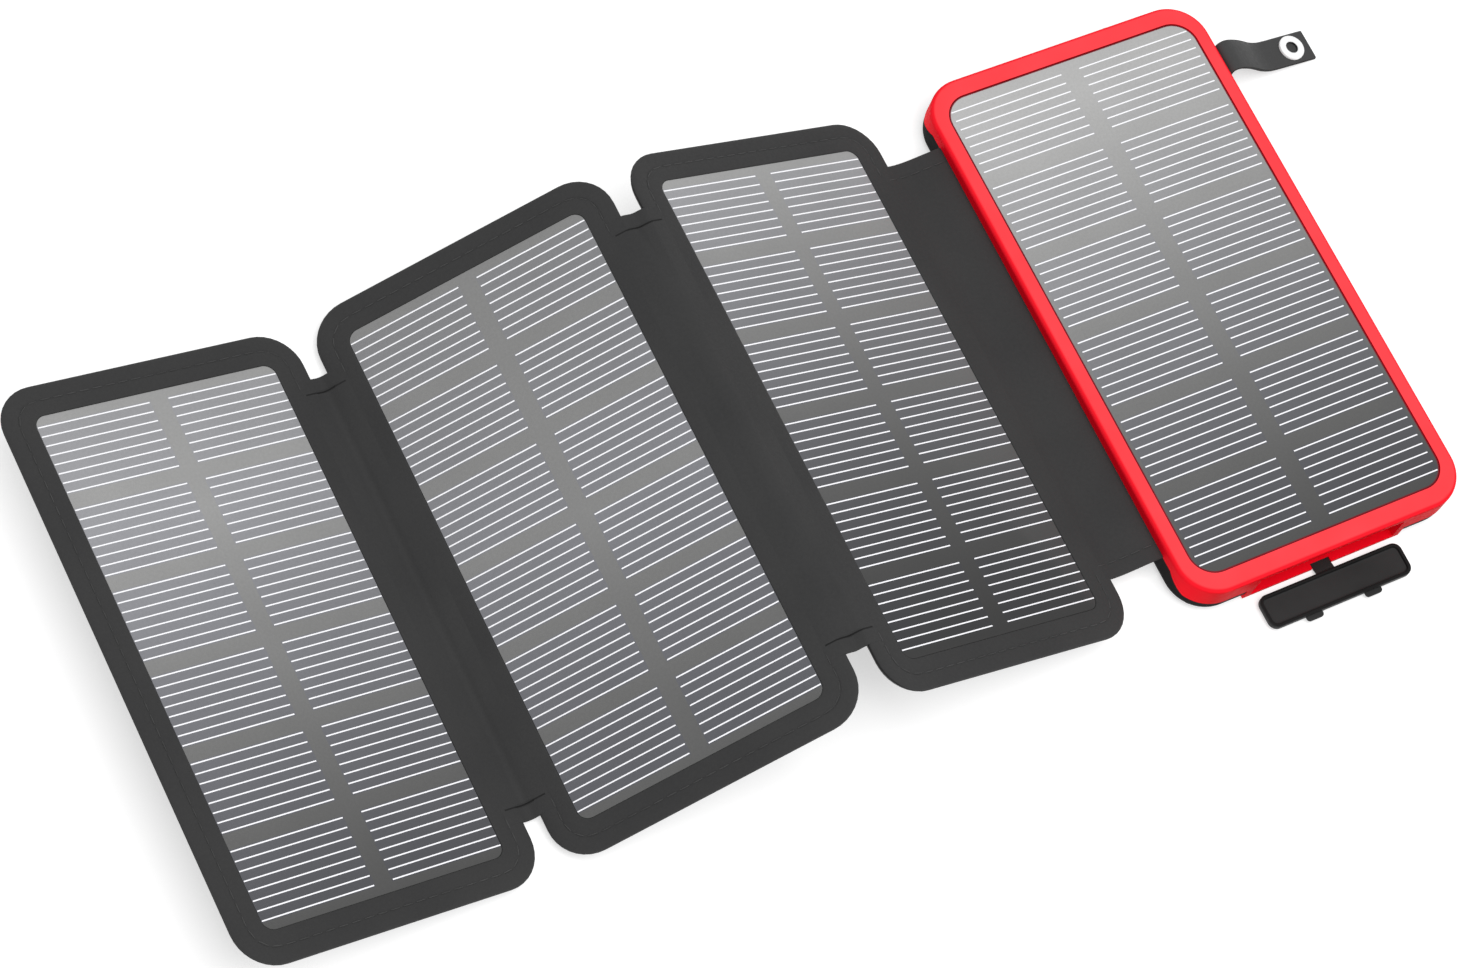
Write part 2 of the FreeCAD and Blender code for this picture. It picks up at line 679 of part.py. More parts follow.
def torch_end():
    """Button, charge lights and torch in the far end wall, on a small upright board."""
    far = BODY_L / 2
    wall = far - WALL
    z0 = END_Z - END_BOARD_H / 2
    z1 = min(z0 + END_BOARD_H, BODY_H - FACE_DEPTH - SHELF_T - PORT_GAP)
    y0 = END_BOARD_Y
    y1 = y0 + END_BOARD_T
    half = END_BOARD_HALF
    save("end_board", box(-half, half, y0, y1, z0, z1))
    switch_tip = y1 + SWITCH_BODY_L + PLUNGER_L
    power_button(wall - BUTTON_GAP, switch_tip, z1)
    w = SWITCH_BODY_W / 2
    h = SWITCH_BODY_H / 2
    body = box(BUTTON_X - w, BUTTON_X + w, y1, y1 + SWITCH_BODY_L, END_Z - h, END_Z + h)
    middle = V(BUTTON_X, y1 + SWITCH_BODY_L / 2, END_Z)
    plunger = disc(PLUNGER_R, middle, V(BUTTON_X, switch_tip, END_Z))
    save("button_switch", body.fuse(plunger))
    pipes = []
    chips = []
    for k in range(4):
        x = LIGHT_FIRST_X + LIGHT_PITCH * k
        w = LIGHT_R
        h = LIGHT_R * 0.6
        pipes.append(disc(LIGHT_R, V(x, y1 + 1.2, END_Z), V(x, far + 0.1, END_Z)))
        chips.append(box(x - w, x + w, y1, y1 + 0.8, END_Z - h, END_Z + h))
    save("charge_light_pipes", *pipes)
    centre = V(TORCH_X, 0, END_Z)
    back = wall - LENS_DEPTH
    lens = disc(TORCH_R, centre + V(0, back, 0), centre + V(0, far + 0.2, 0))
    save("torch_lens", lens.cut(Part.makeSphere(2.0, centre + V(0, back - LENS_DEPTH, 0))))
    w = TORCH_R / 2
    led = box(TORCH_X - w, TORCH_X + w, y1, y1 + 0.9, END_Z - w, END_Z + w)
    save("end_leds", led, *chips)
    end_ribbon(half, y0)


# ---- fold-out panels ----
def ribbon_channel(number, slack):
    """The flat lead that runs across a panel; on the last panel it stops under the board."""
    left = -PANEL_W / 2 + 2.5 if number > 1 else 0.0
    right = PANEL_W / 2 - 2.5
    half = RIBBON_W / 2 + slack
    top = -FRONT_T - PANEL_BOARD_T - 0.05
    return box(left - slack, right + slack, -half, half, top - RIBBON_T - slack / 2, top + slack / 2)


def fold_panel(number):
    """Leather front and back, stiffener tray, board, cells and clear cover of one panel."""
    name = "panel_" + str(number) + "_"
    front = plate(PANEL_W, PANEL_L, PANEL_R, -FRONT_T, 0)
    front = front.cut(plate(WINDOW_W, WINDOW_L, WINDOW_R, -2, 1))
    save(name + "front", on_panel(front, number))
    core_w = PANEL_W - 2 * PANEL_RIM
    core_l = PANEL_L - 2 * PANEL_RIM
    core_r = PANEL_R - PANEL_RIM
    back = plate(PANEL_W, PANEL_L, PANEL_R, -PANEL_T, -FRONT_T)
    back = back.cut(plate(core_w, core_l, core_r, -PANEL_T + BACK_T, 0))
    save(name + "back", on_panel(back, number))
    g = PANEL_GAP
    core = plate(core_w - g, core_l - g, core_r, -PANEL_T + BACK_T, -FRONT_T)
    board_low = -FRONT_T - PANEL_BOARD_T
    pocket = plate(PANEL_BOARD_W + 2 * g, PANEL_BOARD_L + 2 * g, 2, board_low, 0)
    core = core.cut(pocket).cut(ribbon_channel(number, 0.1))
    save(name + "stiffener", on_panel(core, number))
    board = plate(PANEL_BOARD_W, PANEL_BOARD_L, 2, board_low, -FRONT_T)
    lead = ribbon_channel(number, 0.0)
    save(name + "board", on_panel(board, number), on_panel(lead, number))
    w = WINDOW_W - 2 * g
    length = WINDOW_L - 2 * g
    cover_top = -FACE_RECESS
    cells_top = -FRONT_T + CELL_T
    save(name + "cover", on_panel(plate(w, length, WINDOW_R - g, cells_top, cover_top), number))
    edge = 2 * CELL_EDGE_FOLD
    radius = WINDOW_R - g
    tiles = cell_tiles(w - edge, length - edge, radius, CELL_GAP_FOLD, -FRONT_T, cells_top)
    tiles = [on_panel(tile, number) for tile in tiles]
    save(name + "cells", *tiles)


def gusset_half(number, side, flat, mid_z):
    """Half of the leather between two panels; side is +1 on the panel's right edge, -1 on its left."""
    near = PANEL_W / 2
    far = near + flat / 2 - GUSSET_SPLIT
    x0, x1 = sorted((side * near, side * far))
    z0 = mid_z - GUSSET_T / 2
    half = box(x0, x1, -GUSSET_HALF, GUSSET_HALF, z0, z0 + GUSSET_T)
    return on_panel(half, number)


def gussets():
    """The wide gusset beside the power bank, in two halves, and the halves of the two outer ones."""
    low = SEAM_SIDE_Z - GUSSET_T / 2
    high = SEAM_SIDE_Z + GUSSET_T / 2
    split = PIVOT_A.x
    inner = box(split + 0.3, GUSSET_A_CLAMP_X, -GUSSET_HALF, GUSSET_HALF, low, high)
    save("gusset_a_inner", inner)
    edge = PANEL_W / 2
    top = panel_point(3, edge, GUSSET_A_MID_Z + GUSSET_T / 2)
    bottom = panel_point(3, edge, GUSSET_A_MID_Z - GUSSET_T / 2)
    outline = [(split - 0.3, low), (split - 0.3, high), top, bottom]
    save("gusset_a_outer", prism(outline, -GUSSET_HALF, GUSSET_HALF))
    save("gusset_b_right", gusset_half(3, -1, GUSSET_B_FLAT, GUSSET_B_MID_Z))
    save("gusset_b_left", gusset_half(2, 1, GUSSET_B_FLAT, GUSSET_B_MID_Z))
    save("gusset_c_right", gusset_half(2, -1, GUSSET_C_FLAT, GUSSET_C_MID_Z))
    save("gusset_c_left", gusset_half(1, 1, GUSSET_C_FLAT, GUSSET_C_MID_Z))


# ---- strap and snap ----
def strap_piece(start, tilt, shape):
    """Moves a shape made level from x = 0 to a strap length that starts at a point and slopes down."""
    placed = shape.copy()
    placed.rotate(V(0, 0, 0), V(0, 1, 0), tilt)
    placed.translate(start)
    return placed


def strap():
    """Leather strap: a clamped root that rises out of the seam, and two lengths with the snap."""
    y0 = STRAP_Y - STRAP_W / 2
    y1 = STRAP_Y + STRAP_W / 2
    t = STRAP_T / 2
    g = STRAP_JOINT_GAP
    root = V(STRAP_ROOT_X, 0, STRAP_ROOT_Z)
    clamped = box(STRAP_CLAMP_X, STRAP_RISE_X, y0, y1, SEAM_SIDE_Z - t, SEAM_SIDE_Z + t)
    rise = root - V(STRAP_RISE_X, 0, SEAM_SIDE_Z)
    rise_tilt = -math.degrees(math.atan2(rise.z, rise.x))
    stub = box(0, rise.Length - g, y0, y1, -t, t)
    stub = strap_piece(V(STRAP_RISE_X, 0, SEAM_SIDE_Z), rise_tilt, stub)
    save("strap_anchor", clamped.fuse(stub).removeSplitter())
    inner = box(g, STRAP_INNER_L - g, y0, y1, -t, t)
    save("strap_inner", strap_piece(root, STRAP_INNER_TILT, inner))
    slope = math.radians(STRAP_INNER_TILT)
    bend = root + V(math.cos(slope), 0, -math.sin(slope)) * STRAP_INNER_L
    outer = box(g, STRAP_OUTER_L, y0, y1, -t, t)
    snap_x = STRAP_OUTER_L - SNAP_FROM_TIP
    post_r = SNAP_HOLE_R + 0.5
    outer = outer.cut(disc(post_r, V(snap_x, STRAP_Y, -2), V(snap_x, STRAP_Y, 2)))
    save("strap_outer", strap_piece(bend, STRAP_OUTER_TILT, outer))
    ring = disc(SNAP_R, V(snap_x, STRAP_Y, t), V(snap_x, STRAP_Y, t + SNAP_T))
    ring = ring.makeFillet(0.4, level_edges(ring, t + SNAP_T))
    ring = ring.cut(disc(SNAP_HOLE_R, V(snap_x, STRAP_Y, t - 1), V(snap_x, STRAP_Y, t + 3)))
    save("snap_socket", strap_piece(bend, STRAP_OUTER_TILT, ring))
    cap = disc(SNAP_CAP_R, V(snap_x, STRAP_Y, -t - SNAP_CAP_T), V(snap_x, STRAP_Y, -t))
    cap = cap.makeFillet(0.3, level_edges(cap, -t - SNAP_CAP_T))
    post = disc(post_r - 0.05, V(snap_x, STRAP_Y, -t - 0.1), V(snap_x, STRAP_Y, t))
    post = post.cut(disc(SNAP_HOLE_R, V(snap_x, STRAP_Y, -t + 0.3), V(snap_x, STRAP_Y, t + 1)))
    save("snap_cap", strap_piece(bend, STRAP_OUTER_TILT, cap.fuse(post)))
    back = V(STUD_X, STRAP_Y, -PANEL_T)
    flange = disc(STUD_FLANGE_R, back - V(0, 0, STUD_FLANGE_T), back)
    knob = disc(STUD_KNOB_R, back - V(0, 0, STUD_FLANGE_T + STUD_KNOB_H), back)
    save("snap_stud", on_panel(flange.fuse(knob).removeSplitter(), 1))


def main():
    os.makedirs("parts", exist_ok=True)
    shell = bottom_shell()
    save("bottom_shell", shell)
    save("bumper_frame", bumper_frame(shell))
    save("corner_screws", *corner_screws())
    main_face()
    sockets()
    port_cover()
    circuit()
    battery()
    torch_end()
    for number in (3, 2, 1):
        fold_panel(number)
    gussets()
    strap()
    for name, pivot in (("a", PIVOT_A), ("b", PIVOT_B), ("c", PIVOT_C)):
        print("fold", name, "pivot x %.3f z %.3f" % (pivot.x, pivot.z))
    slope = math.radians(STRAP_INNER_TILT)
    reach = STRAP_INNER_L * math.cos(slope)
    drop = STRAP_INNER_L * math.sin(slope)
    print("strap bend x %.3f z %.3f" % (STRAP_ROOT_X + reach, STRAP_ROOT_Z - drop))


main()
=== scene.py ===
import json
import math

import bpy
from mathutils import Matrix, Vector


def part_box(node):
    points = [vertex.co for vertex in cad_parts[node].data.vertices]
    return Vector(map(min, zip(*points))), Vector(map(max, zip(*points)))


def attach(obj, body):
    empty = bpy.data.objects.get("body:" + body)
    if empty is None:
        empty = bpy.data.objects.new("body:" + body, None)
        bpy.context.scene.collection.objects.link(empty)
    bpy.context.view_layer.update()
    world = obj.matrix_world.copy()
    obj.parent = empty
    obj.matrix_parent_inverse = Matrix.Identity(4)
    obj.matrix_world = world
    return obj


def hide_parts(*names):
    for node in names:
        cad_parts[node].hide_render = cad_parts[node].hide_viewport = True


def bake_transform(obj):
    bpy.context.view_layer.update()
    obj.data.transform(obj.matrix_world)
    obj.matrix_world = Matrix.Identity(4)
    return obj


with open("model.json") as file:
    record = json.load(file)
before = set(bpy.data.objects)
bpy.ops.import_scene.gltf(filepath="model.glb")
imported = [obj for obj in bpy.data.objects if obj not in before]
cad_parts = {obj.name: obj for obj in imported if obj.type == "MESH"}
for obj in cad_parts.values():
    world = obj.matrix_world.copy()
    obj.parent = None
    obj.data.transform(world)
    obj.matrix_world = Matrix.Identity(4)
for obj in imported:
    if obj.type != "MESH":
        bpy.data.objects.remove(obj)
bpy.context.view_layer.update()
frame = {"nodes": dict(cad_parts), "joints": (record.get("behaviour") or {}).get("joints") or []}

# Shapes are drawn in millimetres in each part's own frame and moved into the row frame by a matrix.
MM = 0.001

# ---- camera: place in metres, turned by its right and look directions ----
CAMERA_PLACE = (-0.47389, -0.28614, 0.88183)
CAMERA_RIGHT = (0.877793, -0.436037, 0.198371)
CAMERA_LOOK = (0.345279, 0.288850, -0.892944)
CAMERA_LENS = 97.304
CAMERA_SENSOR = 36.0

# ---- light: places and sizes in metres, power in watts ----
KEY_PLACE = (-0.05, -0.30, 1.4)
KEY_AIM = (-0.1, 0.0, 0.0)
KEY_SIZE = 1.1
KEY_POWER = 17.0
SURROUND_STRENGTH = 0.5
FLOOR_GLOW = 0.55
FLOOR_HALF = 4
FLOOR_Z = -0.00002

# ---- fold-out panels, in mm ----
PANEL_W = 82.0
PANEL_L = 153.5
PANEL_R = 10.5
PANEL_T = 3.0
WINDOW_W = 65.6
WINDOW_L = 137.0
WINDOW_R = 3.0
WINDOW_GAP = 0.05
FACE_RECESS = 0.2
FACE_T = 0.4
FACE_EDGE_W = 0.14
MAIN_FACE_R = 6.85

# ---- seams of the leather, in mm ----
STITCH_INSET = 4.2
STITCH_L = 2.7
STITCH_PITCH = 3.5
STITCH_R = 0.17
STITCH_SINK = 0.1
GROOVE_DEPTH = 0.16
CREASE_DEPTH = 0.42

# ---- gussets, in mm: the flat leather between two panels' edges, and what laps onto the panels ----
GUSSET_HALF = 62.0
GUSSET_T = 1.0
GUSSET_FLAT = {"fold_b": 4.4, "fold_c": 4.2}
GUSSET_LAP = 2.6
CREASE_LAP = 4.4
LAP_LIFT = 0.05
LAP_SINK = 0.04
SEAM_Y = GUSSET_HALF - 4.0
# The closed strap presses gusset B's ends in by this much, fading in from this place outwards.
PRESS_DEPTH = 1.9
PRESS_FROM_Y = 48.0
PRESS_RAMP = 5.0

# ---- the ruled lines of a solar face: two columns of six groups of eight lines, in mm ----
GROUPS = 6
LINES = 8
LINE_W = 0.34
LINE_H = 0.03
SEAM_W = 0.38
FOLD_RULE = {"pitch": 2.543, "length": 30.0, "column_gap": 5.13, "group_gap": 4.90}
MAIN_RULE = {"pitch": 2.6587, "length": 33.66, "column_gap": 5.55, "group_gap": 5.105}

# ---- painted reflection on a solar face: the grey of its ramp at the near end and where it levels off,
# that place in mm, and how much of the cells' cool tint is left at the far end under it ----
MAIN_REFLECTION_TONES = (0.262, 0.672, 62.0, 0.0)
FOLD_REFLECTION_TONES = {
    3: (0.150, 0.585, WINDOW_L / 2, 0.35),
    2: (0.331, 0.494, 0.0, 0.35),
    1: (0.275, 0.576, 35.0, 0.35),
}

# ---- strap and port cover, in mm ----
STRAP_Y = 58.0
STRAP_W = 9.0
STRAP_T = 1.2
SNAP_R = 3.7
SNAP_HOLE_R = 1.75
LID_W = 43.3
LID_L = 9.2
LID_R = 2.4
LID_EDGE_Y = -79.46
LID_TAB_X = 9.0
LID_TAB_W = 5.0
LID_TAB_L = 1.4
LID_TAB_DEPTH = 3.2
LID_TAB_R = 0.9
STALK_W = 5.4
STALK_T = 0.84
STALK_STEPS = 16


# ---- mesh helpers ----
def build(name, points, faces, uv=None, slots=None, materials=(), smooth=35.0):
    """A mesh object; uv is one (u, v) in mm for each point, slots one material index for each face."""
    mesh = bpy.data.meshes.new(name)
    mesh.from_pydata([tuple(p) for p in points], [], faces)
    layer = mesh.uv_layers.new(name="flat")
    uv = uv or [(p[0], p[1]) for p in points]
    for loop in mesh.loops:
        layer.data[loop.index].uv = uv[loop.vertex_index]
    for material in materials:
        mesh.materials.append(material)
    if slots:
        mesh.polygons.foreach_set("material_index", slots)
    mesh.shade_smooth()
    mesh.set_sharp_from_angle(angle=math.radians(smooth))
    mesh.update()
    piece = bpy.data.objects.new(name, mesh)
    bpy.context.scene.collection.objects.link(piece)
    return piece


def arc_steps(start, end, count):
    """Angles in radians from start to end degrees, both included."""
    return [math.radians(start + (end - start) * k / count) for k in range(count + 1)]


def rounded_ring(width, length, radius, z, sides=(), ends=(), steps=9):
    """Points round a rectangle with round corners; sides and ends are more places on its straights."""
    a = width / 2 - radius
    b = length / 2 - radius
    corners = [(a, b, 0), (-a, b, 90), (-a, -b, 180), (a, -b, 270)]
    straights = [
        [(-x, length / 2) for x in ends],
        [(-width / 2, -y) for y in sides],
        [(x, -length / 2) for x in ends],
        [(width / 2, y) for y in sides],
    ]
    ring = []
    for (cx, cy, start), straight in zip(corners, straights):
        for t in arc_steps(start, start + 90, steps):
            ring.append(Vector((cx + radius * math.cos(t), cy + radius * math.sin(t), z)))
        ring.extend(Vector((x, y, z)) for x, y in straight)
    return ring


def loft(rings, hollow=False):
    """Joins closed rings of equal length; faces look outward when the rings turn left and go up.

    A hollow loft closes on itself like a tyre; any other is capped at both ends.
    """
    points = [p for ring in rings for p in ring]
    n = len(rings[0])
    count = len(rings)
    faces = []
    for r in range(count if hollow else count - 1):
        a = r * n
        b = (r + 1) % count * n
        for k in range(n):
            nxt = (k + 1) % n
            faces.append((a + k, a + nxt, b + nxt, b + k))
    if not hollow:
        faces.append(tuple(reversed(range(n))))
        faces.append(tuple(range((count - 1) * n, count * n)))
    return points, faces


def tube_points(middle, along, up, length, radius):
    """A small capsule of thread: three rings of six and two tips."""
    side = along.cross(up)
    points = []
    for step, scale in ((-0.42, 0.75), (0.0, 1.0), (0.42, 0.75)):
        centre = middle + along * (length * step)
        for t in arc_steps(0, 300, 5):
            points.append(centre + (side * math.cos(t) + up * math.sin(t)) * (radius * scale))
    points.append(middle - along * (length / 2))
    points.append(middle + along * (length / 2))
    return points


def tube_faces(first):
    """Faces of the capsule whose points start at an index."""
    faces = []
    for ring in range(2):
        for k in range(6):
            a = first + ring * 6 + k
            b = first + ring * 6 + (k + 1) % 6
            faces.append((a, a + 6, b + 6, b))
    for k in range(6):
        faces.append((first + 18, first + k, first + (k + 1) % 6))
        faces.append((first + 19, first + 12 + (k + 1) % 6, first + 12 + k))
    return faces


def smooth_step(t):
    t = min(1.0, max(0.0, t))
    return t * t * (3 - 2 * t)


def resample_line(points, count):
    """Points evenly spaced along straight runs."""
    corners = [Vector(p) for p in points]
    reach = [0.0]
    for p, q in zip(corners, corners[1:]):
        reach.append(reach[-1] + (q - p).length)
    even = []
    k = 0
    for step in range(count + 1):
        want = reach[-1] * step / count
        while k < len(corners) - 2 and reach[k + 1] < want:
            k += 1
        span = max(reach[k + 1] - reach[k], 1e-9)
        even.append(corners[k].lerp(corners[k + 1], (want - reach[k]) / span))
    return even


def resample(points, count):
    """Points evenly spaced along a smooth curve through the given (x, z) places."""
    dense = []
    for k in range(len(points) - 1):
        p0 = Vector(points[max(k - 1, 0)])
        p1 = Vector(points[k])
        p2 = Vector(points[k + 1])
        p3 = Vector(points[min(k + 2, len(points) - 1)])
        for step in range(20):
            t = step / 20
            a = p1 * 2
            b = p2 - p0
            c = p0 * 2 - p1 * 5 + p2 * 4 - p3
            d = p1 * 3 - p0 - p2 * 3 + p3
            dense.append((a + b * t + c * (t * t) + d * (t * t * t)) * 0.5)
    dense.append(Vector(points[-1]))
    return resample_line(dense, count)


# ---- materials ----
class Look:
    """A procedural material in the making: one principled shader and a texture vector in mm."""

    def __init__(self, name, coords="Object", **sockets):
        self.material = bpy.data.materials.new(name)
        self.material.use_nodes = True
        self.tree = self.material.node_tree
        self.shader = self.tree.nodes["Principled BSDF"]
        for key, value in sockets.items():
            self.shader.inputs[key.replace("_", " ")].default_value = value
        source = self.add("ShaderNodeTexCoord").outputs[coords]
        if coords == "Object":
            scale = self.add("ShaderNodeVectorMath", operation="SCALE")
            scale.inputs["Scale"].default_value = 1 / MM
            self.link(source, scale.inputs[0])
            source = scale.outputs[0]
        self.vector = source

    def add(self, kind, **settings):
        node = self.tree.nodes.new(kind)
        for key, value in settings.items():
            setattr(node, key, value)
        return node

    def link(self, source, target):
        self.tree.links.new(source, target)

    def noise(self, scale, detail=2.0, roughness=0.5, stretch=None):
        """Noise whose features are about 1/scale mm across."""
        vector = self.vector
        if stretch:
            mapping = self.add("ShaderNodeMapping")
            mapping.inputs["Scale"].default_value = stretch
            self.link(vector, mapping.inputs["Vector"])
            vector = mapping.outputs["Vector"]
        node = self.add("ShaderNodeTexNoise")
        node.inputs["Scale"].default_value = scale
        node.inputs["Detail"].default_value = detail
        node.inputs["Roughness"].default_value = roughness
        self.link(vector, node.inputs["Vector"])
        return node.outputs["Fac"]

    def cells(self, scale, feature="F1"):
        """Distance field of pebble cells, about 1/scale mm across."""
        node = self.add("ShaderNodeTexVoronoi", feature=feature)
        node.inputs["Scale"].default_value = scale
        self.link(self.vector, node.inputs["Vector"])
        return node.outputs["Distance"]

    def math(self, operation, a, b=None, c=None):
        node = self.add("ShaderNodeMath", operation=operation)
        for socket, value in zip(node.inputs, (a, b, c)):
            if value is None:
                continue
            if isinstance(value, (int, float)):
                socket.default_value = value
            else:
                self.link(value, socket)
        return node.outputs[0]

    def span(self, value, low, high, to_low=0.0, to_high=1.0):
        """Maps a value from one range to another, clamped."""
        node = self.add("ShaderNodeMapRange")
        self.link(value, node.inputs["Value"])
        node.inputs["From Min"].default_value = low
        node.inputs["From Max"].default_value = high
        node.inputs["To Min"].default_value = to_low
        node.inputs["To Max"].default_value = to_high
        return node.outputs["Result"]

    def mix(self, factor, a, b, blend="MIX"):
        node = self.add("ShaderNodeMix", data_type="RGBA", blend_type=blend)
        colour_sockets = [s for s in node.inputs if s.type == "RGBA"]
        factor_socket = [s for s in node.inputs if s.name == "Factor" and s.type == "VALUE"][0]
        for socket, value in zip([factor_socket] + colour_sockets, (factor, a, b)):
            if isinstance(value, (int, float)):
                socket.default_value = value
            elif isinstance(value, tuple):
                socket.default_value = (*value, 1.0)
            else:
                self.link(value, socket)
        return [s for s in node.outputs if s.type == "RGBA"][0]

    def colour(self, source):
        self.link(source, self.shader.inputs["Base Color"])

    def rough(self, source):
        self.link(source, self.shader.inputs["Roughness"])

    def bump(self, height, distance_mm, strength=1.0):
        node = self.add("ShaderNodeBump")
        node.inputs["Strength"].default_value = strength
        node.inputs["Distance"].default_value = distance_mm * MM
        self.link(height, node.inputs["Height"])
        self.link(node.outputs["Normal"], self.shader.inputs["Normal"])


def moulded(name, dark, light, roughness, grain=2.2, depth=0.02, **sockets):
    """Moulded plastic or rubber: soft tone variation, uneven gloss and a fine eroded texture."""
    look = Look(name, **sockets)
    look.colour(look.mix(look.span(look.noise(0.06, 3.0), 0.3, 0.7), dark, light))
    look.rough(look.span(look.noise(0.35, 4.0), 0.3, 0.7, roughness - 0.05, roughness + 0.05))
    look.bump(look.noise(grain, 3.0), depth, 0.6)
    return look.material


def metal(name, dark, light, roughness, stretch=(1, 14, 1)):
    """Plated or drawn metal with fine lines along its length."""
    look = Look(name, Metallic=1.0)
    lines = look.noise(1.6, 4.0, stretch=stretch)
    look.colour(look.mix(look.span(lines, 0.3, 0.7), dark, light))
    look.rough(look.span(lines, 0.25, 0.75, roughness - 0.06, roughness + 0.08))
    look.bump(lines, 0.01, 0.4)
    return look.material


def laminate(name, dark, light):
    """Glass-fibre board: a faint woven weave under a satin resist."""
    look = Look(name, Roughness=0.4, Coat_Weight=0.3, Coat_Roughness=0.2)
    weave = look.add("ShaderNodeTexBrick")
    weave.inputs["Scale"].default_value = 1.4
    weave.inputs["Mortar Size"].default_value = 0.04
    look.link(look.vector, weave.inputs["Vector"])
    fibre = look.math("MULTIPLY", weave.outputs["Fac"], 0.5)
    shade = look.math("ADD", fibre, look.span(look.noise(0.2, 2.0), 0.3, 0.7, 0.0, 0.5))
    look.colour(look.mix(shade, dark, light))
    look.bump(weave.outputs["Fac"], 0.02, 0.3)
    return look.material


def clear(name, tint, dark):
    """Clear moulding: glassy, with a faint milky variation."""
    look = Look(name, Transmission_Weight=0.75, IOR=1.49, Coat_Weight=0.3)
    look.colour(look.mix(look.span(look.noise(0.7, 2.0), 0.3, 0.7), tint, dark))
    look.rough(look.span(look.noise(1.2, 2.0), 0.3, 0.7, 0.08, 0.18))
    return look.material


def leather(name, dark, light):
    """Matt pressed leather: pebble grain, a slow tone drift and small scuffs."""
    look = Look(name, coords="UV", Specular_IOR_Level=0.32, Sheen_Weight=0.05)
    drift = look.span(look.noise(0.035, 3.0), 0.3, 0.7)
    speckle = look.span(look.noise(1.7, 4.0, 0.6), 0.3, 0.7, 0.0, 0.35)
    look.colour(look.mix(look.math("MULTIPLY_ADD", drift, 0.65, speckle), dark, light))
    look.rough(look.span(look.noise(0.9, 3.0), 0.3, 0.7, 0.66, 0.8))
    pebble = look.cells(1.5)
    fine = look.math("MULTIPLY", look.noise(3.2, 3.0), 0.5)
    look.bump(look.math("ADD", pebble, fine), 0.05, 0.5)
    return look.material


def solar_glaze(name, rule, length, reflection_tones):
    """Glossy laminated cells with a painted reflection: a smooth grey ramp along the face, and faintly
    cooler cell groups.
    """
    near_grey, far_grey, level_off, far_cool = reflection_tones
    look = Look(name, coords="UV", Roughness=0.32, Coat_Weight=1.0, Coat_Roughness=0.07, IOR=1.5)
    look.shader.inputs["Specular IOR Level"].default_value = 0.35
    split = look.add("ShaderNodeSeparateXYZ")
    look.link(look.vector, split.inputs[0])
    x, y = split.outputs["X"], split.outputs["Y"]
    # Painted reflection: a grey ramp along the face, levelling off further on, with a slight slope
    # across it.
    grey = look.span(y, -length / 2, level_off, near_grey, far_grey)
    skew = look.math("MULTIPLY", x, -0.00035)
    grey = look.math("POWER", look.math("ADD", grey, skew), 2.2)
    period = (LINES - 1) * rule["pitch"] + rule["group_gap"]
    half_group = (LINES - 1) * rule["pitch"] / 2 + 0.5
    middle = rule["column_gap"] / 2 + rule["length"] / 2
    in_column = look.math("COMPARE", look.math("ABSOLUTE", x), middle, rule["length"] / 2 + 0.3)
    phase = look.math("FRACT", look.math("ADD", look.math("DIVIDE", y, period), 8.0))
    in_group = look.math("COMPARE", phase, 0.5, half_group / period)
    group = look.math("MULTIPLY", in_column, in_group)
    crystal = look.span(look.noise(1.3, 5.0, 0.7), 0.3, 0.7, 0.93, 1.05)
    cloud = look.span(look.noise(0.05, 2.0), 0.3, 0.7, 0.97, 1.03)
    # The cell groups' cool tint fades towards the far end, where the painted reflection is lighter.
    cool = look.math("MULTIPLY", group, look.span(y, -length / 2, length / 2, 1.0, far_cool))
    tint = look.mix(cool, (1.0, 1.0, 0.992), (0.905, 0.925, 1.05))
    shade = look.add("ShaderNodeCombineColor")
    value = look.math("MULTIPLY", grey, look.math("MULTIPLY", cloud, crystal))
    for socket in shade.inputs:
        look.link(value, socket)
    look.colour(look.mix(1.0, shade.outputs[0], tint, "MULTIPLY"))
    look.bump(look.noise(0.03, 1.0), 0.02, 0.2)
    return look.material


